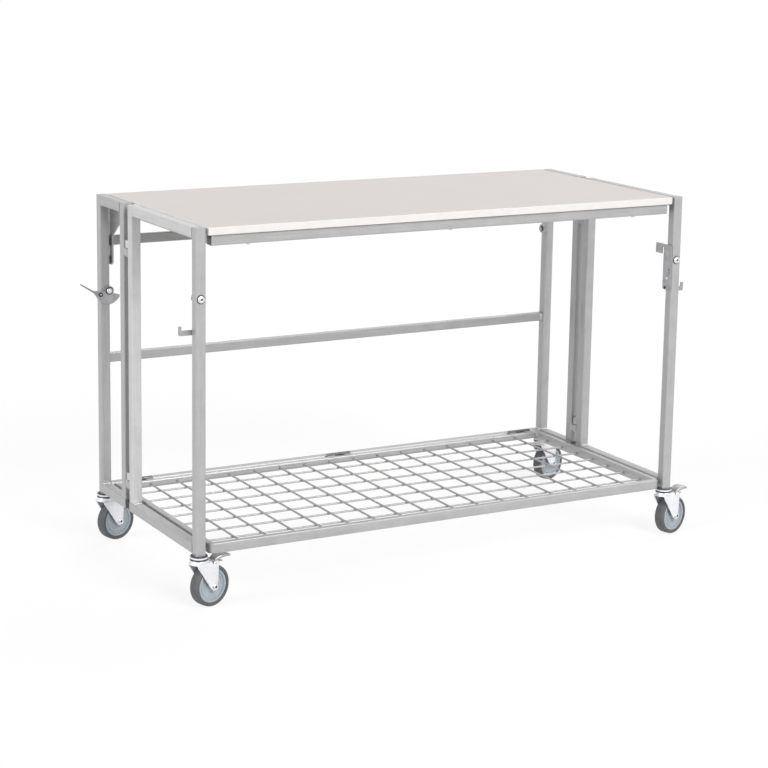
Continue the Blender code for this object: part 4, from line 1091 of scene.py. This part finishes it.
def weld_end_frame(side):
    """The beads in an end frame's corners and on its hinge halves."""
    welds = Welds(side + "_end_frame")
    low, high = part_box("end_top_rail_" + side)
    x0, x1 = low.x + CLEAR, high.x - CLEAR
    welds.run((x0, low.y, low.z), (x1, low.y, low.z), BACK, DOWN)
    welds.run((x0, high.y, low.z), (x1, high.y, low.z), AHEAD, DOWN)
    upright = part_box("end_rear_post_" + side)[0].y
    low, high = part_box("end_bottom_rail_" + side)
    welds.run((x0, low.y, high.z), (x1, low.y, high.z), BACK, UP)
    welds.run((x0, low.y, low.z), (x1, low.y, low.z), BACK, DOWN)
    welds.run((x0, upright, high.z), (x1, upright, high.z), AHEAD, UP)
    weld_knuckles(welds, side, high.y, BACK, HINGE_SPLIT, HINGE_HALF)
    welds.finish()


def weld_shelf():
    """Upright beads where the shelf's rear rail meets its hoop."""
    welds = Welds("shelf")
    hoop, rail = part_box("shelf_hoop"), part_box("shelf_rear_rail")
    z0, z1 = rail[0].z + CLEAR, hoop[1].z - CLEAR
    for x, inwards in ((hoop[0].x + SHELF_TUBE, RIGHT), (hoop[1].x - SHELF_TUBE, LEFT)):
        welds.run((x, rail[0].y, z0), (x, rail[0].y, z1), inwards, AHEAD, leg=0.0030)
    welds.finish()


def weld_subframe():
    """Upright beads in the inner corners of the tabletop's subframe."""
    welds = Welds("tabletop")
    front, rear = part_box("subframe_front_rail"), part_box("subframe_rear_rail")
    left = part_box("subframe_side_rail_left")[1].x
    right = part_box("subframe_side_rail_right")[0].x
    z0, z1 = front[0].z + CLEAR, front[1].z - CLEAR
    for x, inwards in ((left, RIGHT), (right, LEFT)):
        for y, away in ((front[1].y, BACK), (rear[0].y, AHEAD)):
            welds.run((x, y, z0), (x, y, z1), inwards, away, leg=0.0034)
    welds.finish()


weld_rear_frame()
for side in SIDES:
    weld_end_frame(side)
weld_shelf()
weld_subframe()


# Plain nodes and their metal

LENGTHWISE = {
    "X": (
        "rear_upper_rail", "rear_mid_rail", "rear_bottom_rail", "subframe_front_rail", "subframe_rear_rail",
        "shelf_rear_rail", "shelf_hoop",
    ),
    "Y": ("wing_top_rail", "wing_bottom_rail", "end_top_rail", "end_bottom_rail", "subframe_side_rail"),
    "Z": ("rear_post", "hinge_post", "end_rear_post", "end_front_post"),
}
PLATES = ("catch_lever", "catch_stud", "hook_left", "hook_right", "rocker_latch", "pivot_bracket")


def dress(node, material):
    """Gives a CAD node one material."""
    slots = nodes[node].data.materials
    slots.clear()
    slots.append(material)


def ease_edges(node, width):
    """A small round on the cut edges of a plate."""
    weld = nodes[node].modifiers.new("whole", "WELD")
    weld.merge_threshold = 0.000005
    bevel = nodes[node].modifiers.new("eased", "BEVEL")
    bevel.width = width
    bevel.segments = 2
    bevel.limit_method = "ANGLE"
    bevel.angle_limit = radians(40)


for name in nodes:
    if nodes[name].data.materials[0].name.startswith("zinc_plate"):
        dress(name, dull_zinc if name.startswith(PLATES) else zinc)
    if name.startswith(PLATES):
        ease_edges(name, PLATE_EASE)
    for axis, starts in LENGTHWISE.items():
        if name.startswith(starts):
            dress(name, steel[axis])
# Painted light: the left end frame's rear upright and top rail take the lighter copy of the steel.
dress("end_top_rail_left", lit_steel["Y"])
dress("end_rear_post_left", lit_steel["Z"])
# Painted shade: the rear upper rail takes the darker copy of the steel.
dress("rear_upper_rail", shaded_steel)
dress("tabletop_board", board_face)
dress("tabletop_edge_band", edging)


# Floor, light and camera

def make_floor():
    """A pale floor that looks white and keeps the table's shadow."""
    mesh = bpy.data.meshes.new("floor")
    corners = [(x * FLOOR_REACH, y * FLOOR_REACH, 0.0) for x, y in ((-1, -1), (1, -1), (1, 1), (-1, 1))]
    mesh.from_pydata(corners, [], [(0, 1, 2, 3)])
    floor = stand("floor", mesh)
    material = bpy.data.materials.new("pale_floor")
    material.use_nodes = True
    tree = material.node_tree
    tree.nodes.clear()
    output = tree.nodes.new("ShaderNodeOutputMaterial")
    real = tree.nodes.new("ShaderNodeBsdfDiffuse")
    real.inputs["Color"].default_value = (*grey(FLOOR_BOUNCE), 1.0)
    shadowed = tree.nodes.new("ShaderNodeBsdfDiffuse")
    shadowed.inputs["Color"].default_value = (*grey(FLOOR_SHADED), 1.0)
    glow = tree.nodes.new("ShaderNodeEmission")
    glow.inputs["Strength"].default_value = FLOOR_GLOW
    both = tree.nodes.new("ShaderNodeAddShader")
    tree.links.new(shadowed.outputs["BSDF"], both.inputs[0])
    tree.links.new(glow.outputs["Emission"], both.inputs[1])
    bounced_or_seen(tree, real, both, output)
    mesh.materials.append(material)


def bounced_or_seen(tree, bounced, seen, output):
    """One shader for light that bounces, another where the camera, a reflection or a refraction looks."""
    path = tree.nodes.new("ShaderNodeLightPath")
    looks = path.outputs["Is Camera Ray"]
    for ray in ("Is Glossy Ray", "Is Transmission Ray"):
        either = tree.nodes.new("ShaderNodeMath")
        either.operation = "MAXIMUM"
        tree.links.new(looks, either.inputs[0])
        tree.links.new(path.outputs[ray], either.inputs[1])
        looks = either.outputs["Value"]
    mix = tree.nodes.new("ShaderNodeMixShader")
    tree.links.new(looks, mix.inputs["Fac"])
    tree.links.new(bounced.outputs[0], mix.inputs[1])
    tree.links.new(seen.outputs[0], mix.inputs[2])
    tree.links.new(mix.outputs["Shader"], output.inputs["Surface"])


def make_world():
    """A white sky to look at, and an even dim one for bounced light."""
    world = bpy.data.worlds.new("studio")
    bpy.context.scene.world = world
    world.use_nodes = True
    tree = world.node_tree
    tree.nodes.clear()
    output = tree.nodes.new("ShaderNodeOutputWorld")
    ambient = tree.nodes.new("ShaderNodeBackground")
    ambient.inputs["Strength"].default_value = SKY_BOUNCE
    white = tree.nodes.new("ShaderNodeBackground")
    white.inputs["Color"].default_value = (1.0, 1.0, 1.0, 1.0)
    white.inputs["Strength"].default_value = SKY_SEEN
    bounced_or_seen(tree, ambient, white, output)


def sun(name, towards, spread, strength):
    """Soft light from one side of the sky, the same all over the floor."""
    light = bpy.data.lights.new(name, "SUN")
    light.angle = radians(spread)
    light.energy = strength
    made = stand(name, light)
    made.rotation_euler = (-Vector(towards)).to_track_quat("-Z", "Y").to_euler()


def make_camera():
    """The photograph's view."""
    data = bpy.data.cameras.new("camera")
    data.lens = CAMERA_LENS
    data.sensor_width = CAMERA_SENSOR
    data.shift_x, data.shift_y = CAMERA_SHIFT
    camera = stand("camera", data)
    camera.location = CAMERA_PLACE
    camera.rotation_euler = [radians(angle) for angle in CAMERA_TURN]
    bpy.context.scene.camera = camera


make_floor()
make_world()
sun("left_light", towards=(-0.90, -0.10, 0.42), spread=35.0, strength=1.45)
sun("front_light", towards=(0.15, -0.85, 0.50), spread=35.0, strength=2.1)
sun("back_light", towards=(0.62, 0.36, 0.70), spread=40.0, strength=0.7)
make_camera()
bpy.context.scene.view_settings.view_transform = "Standard"
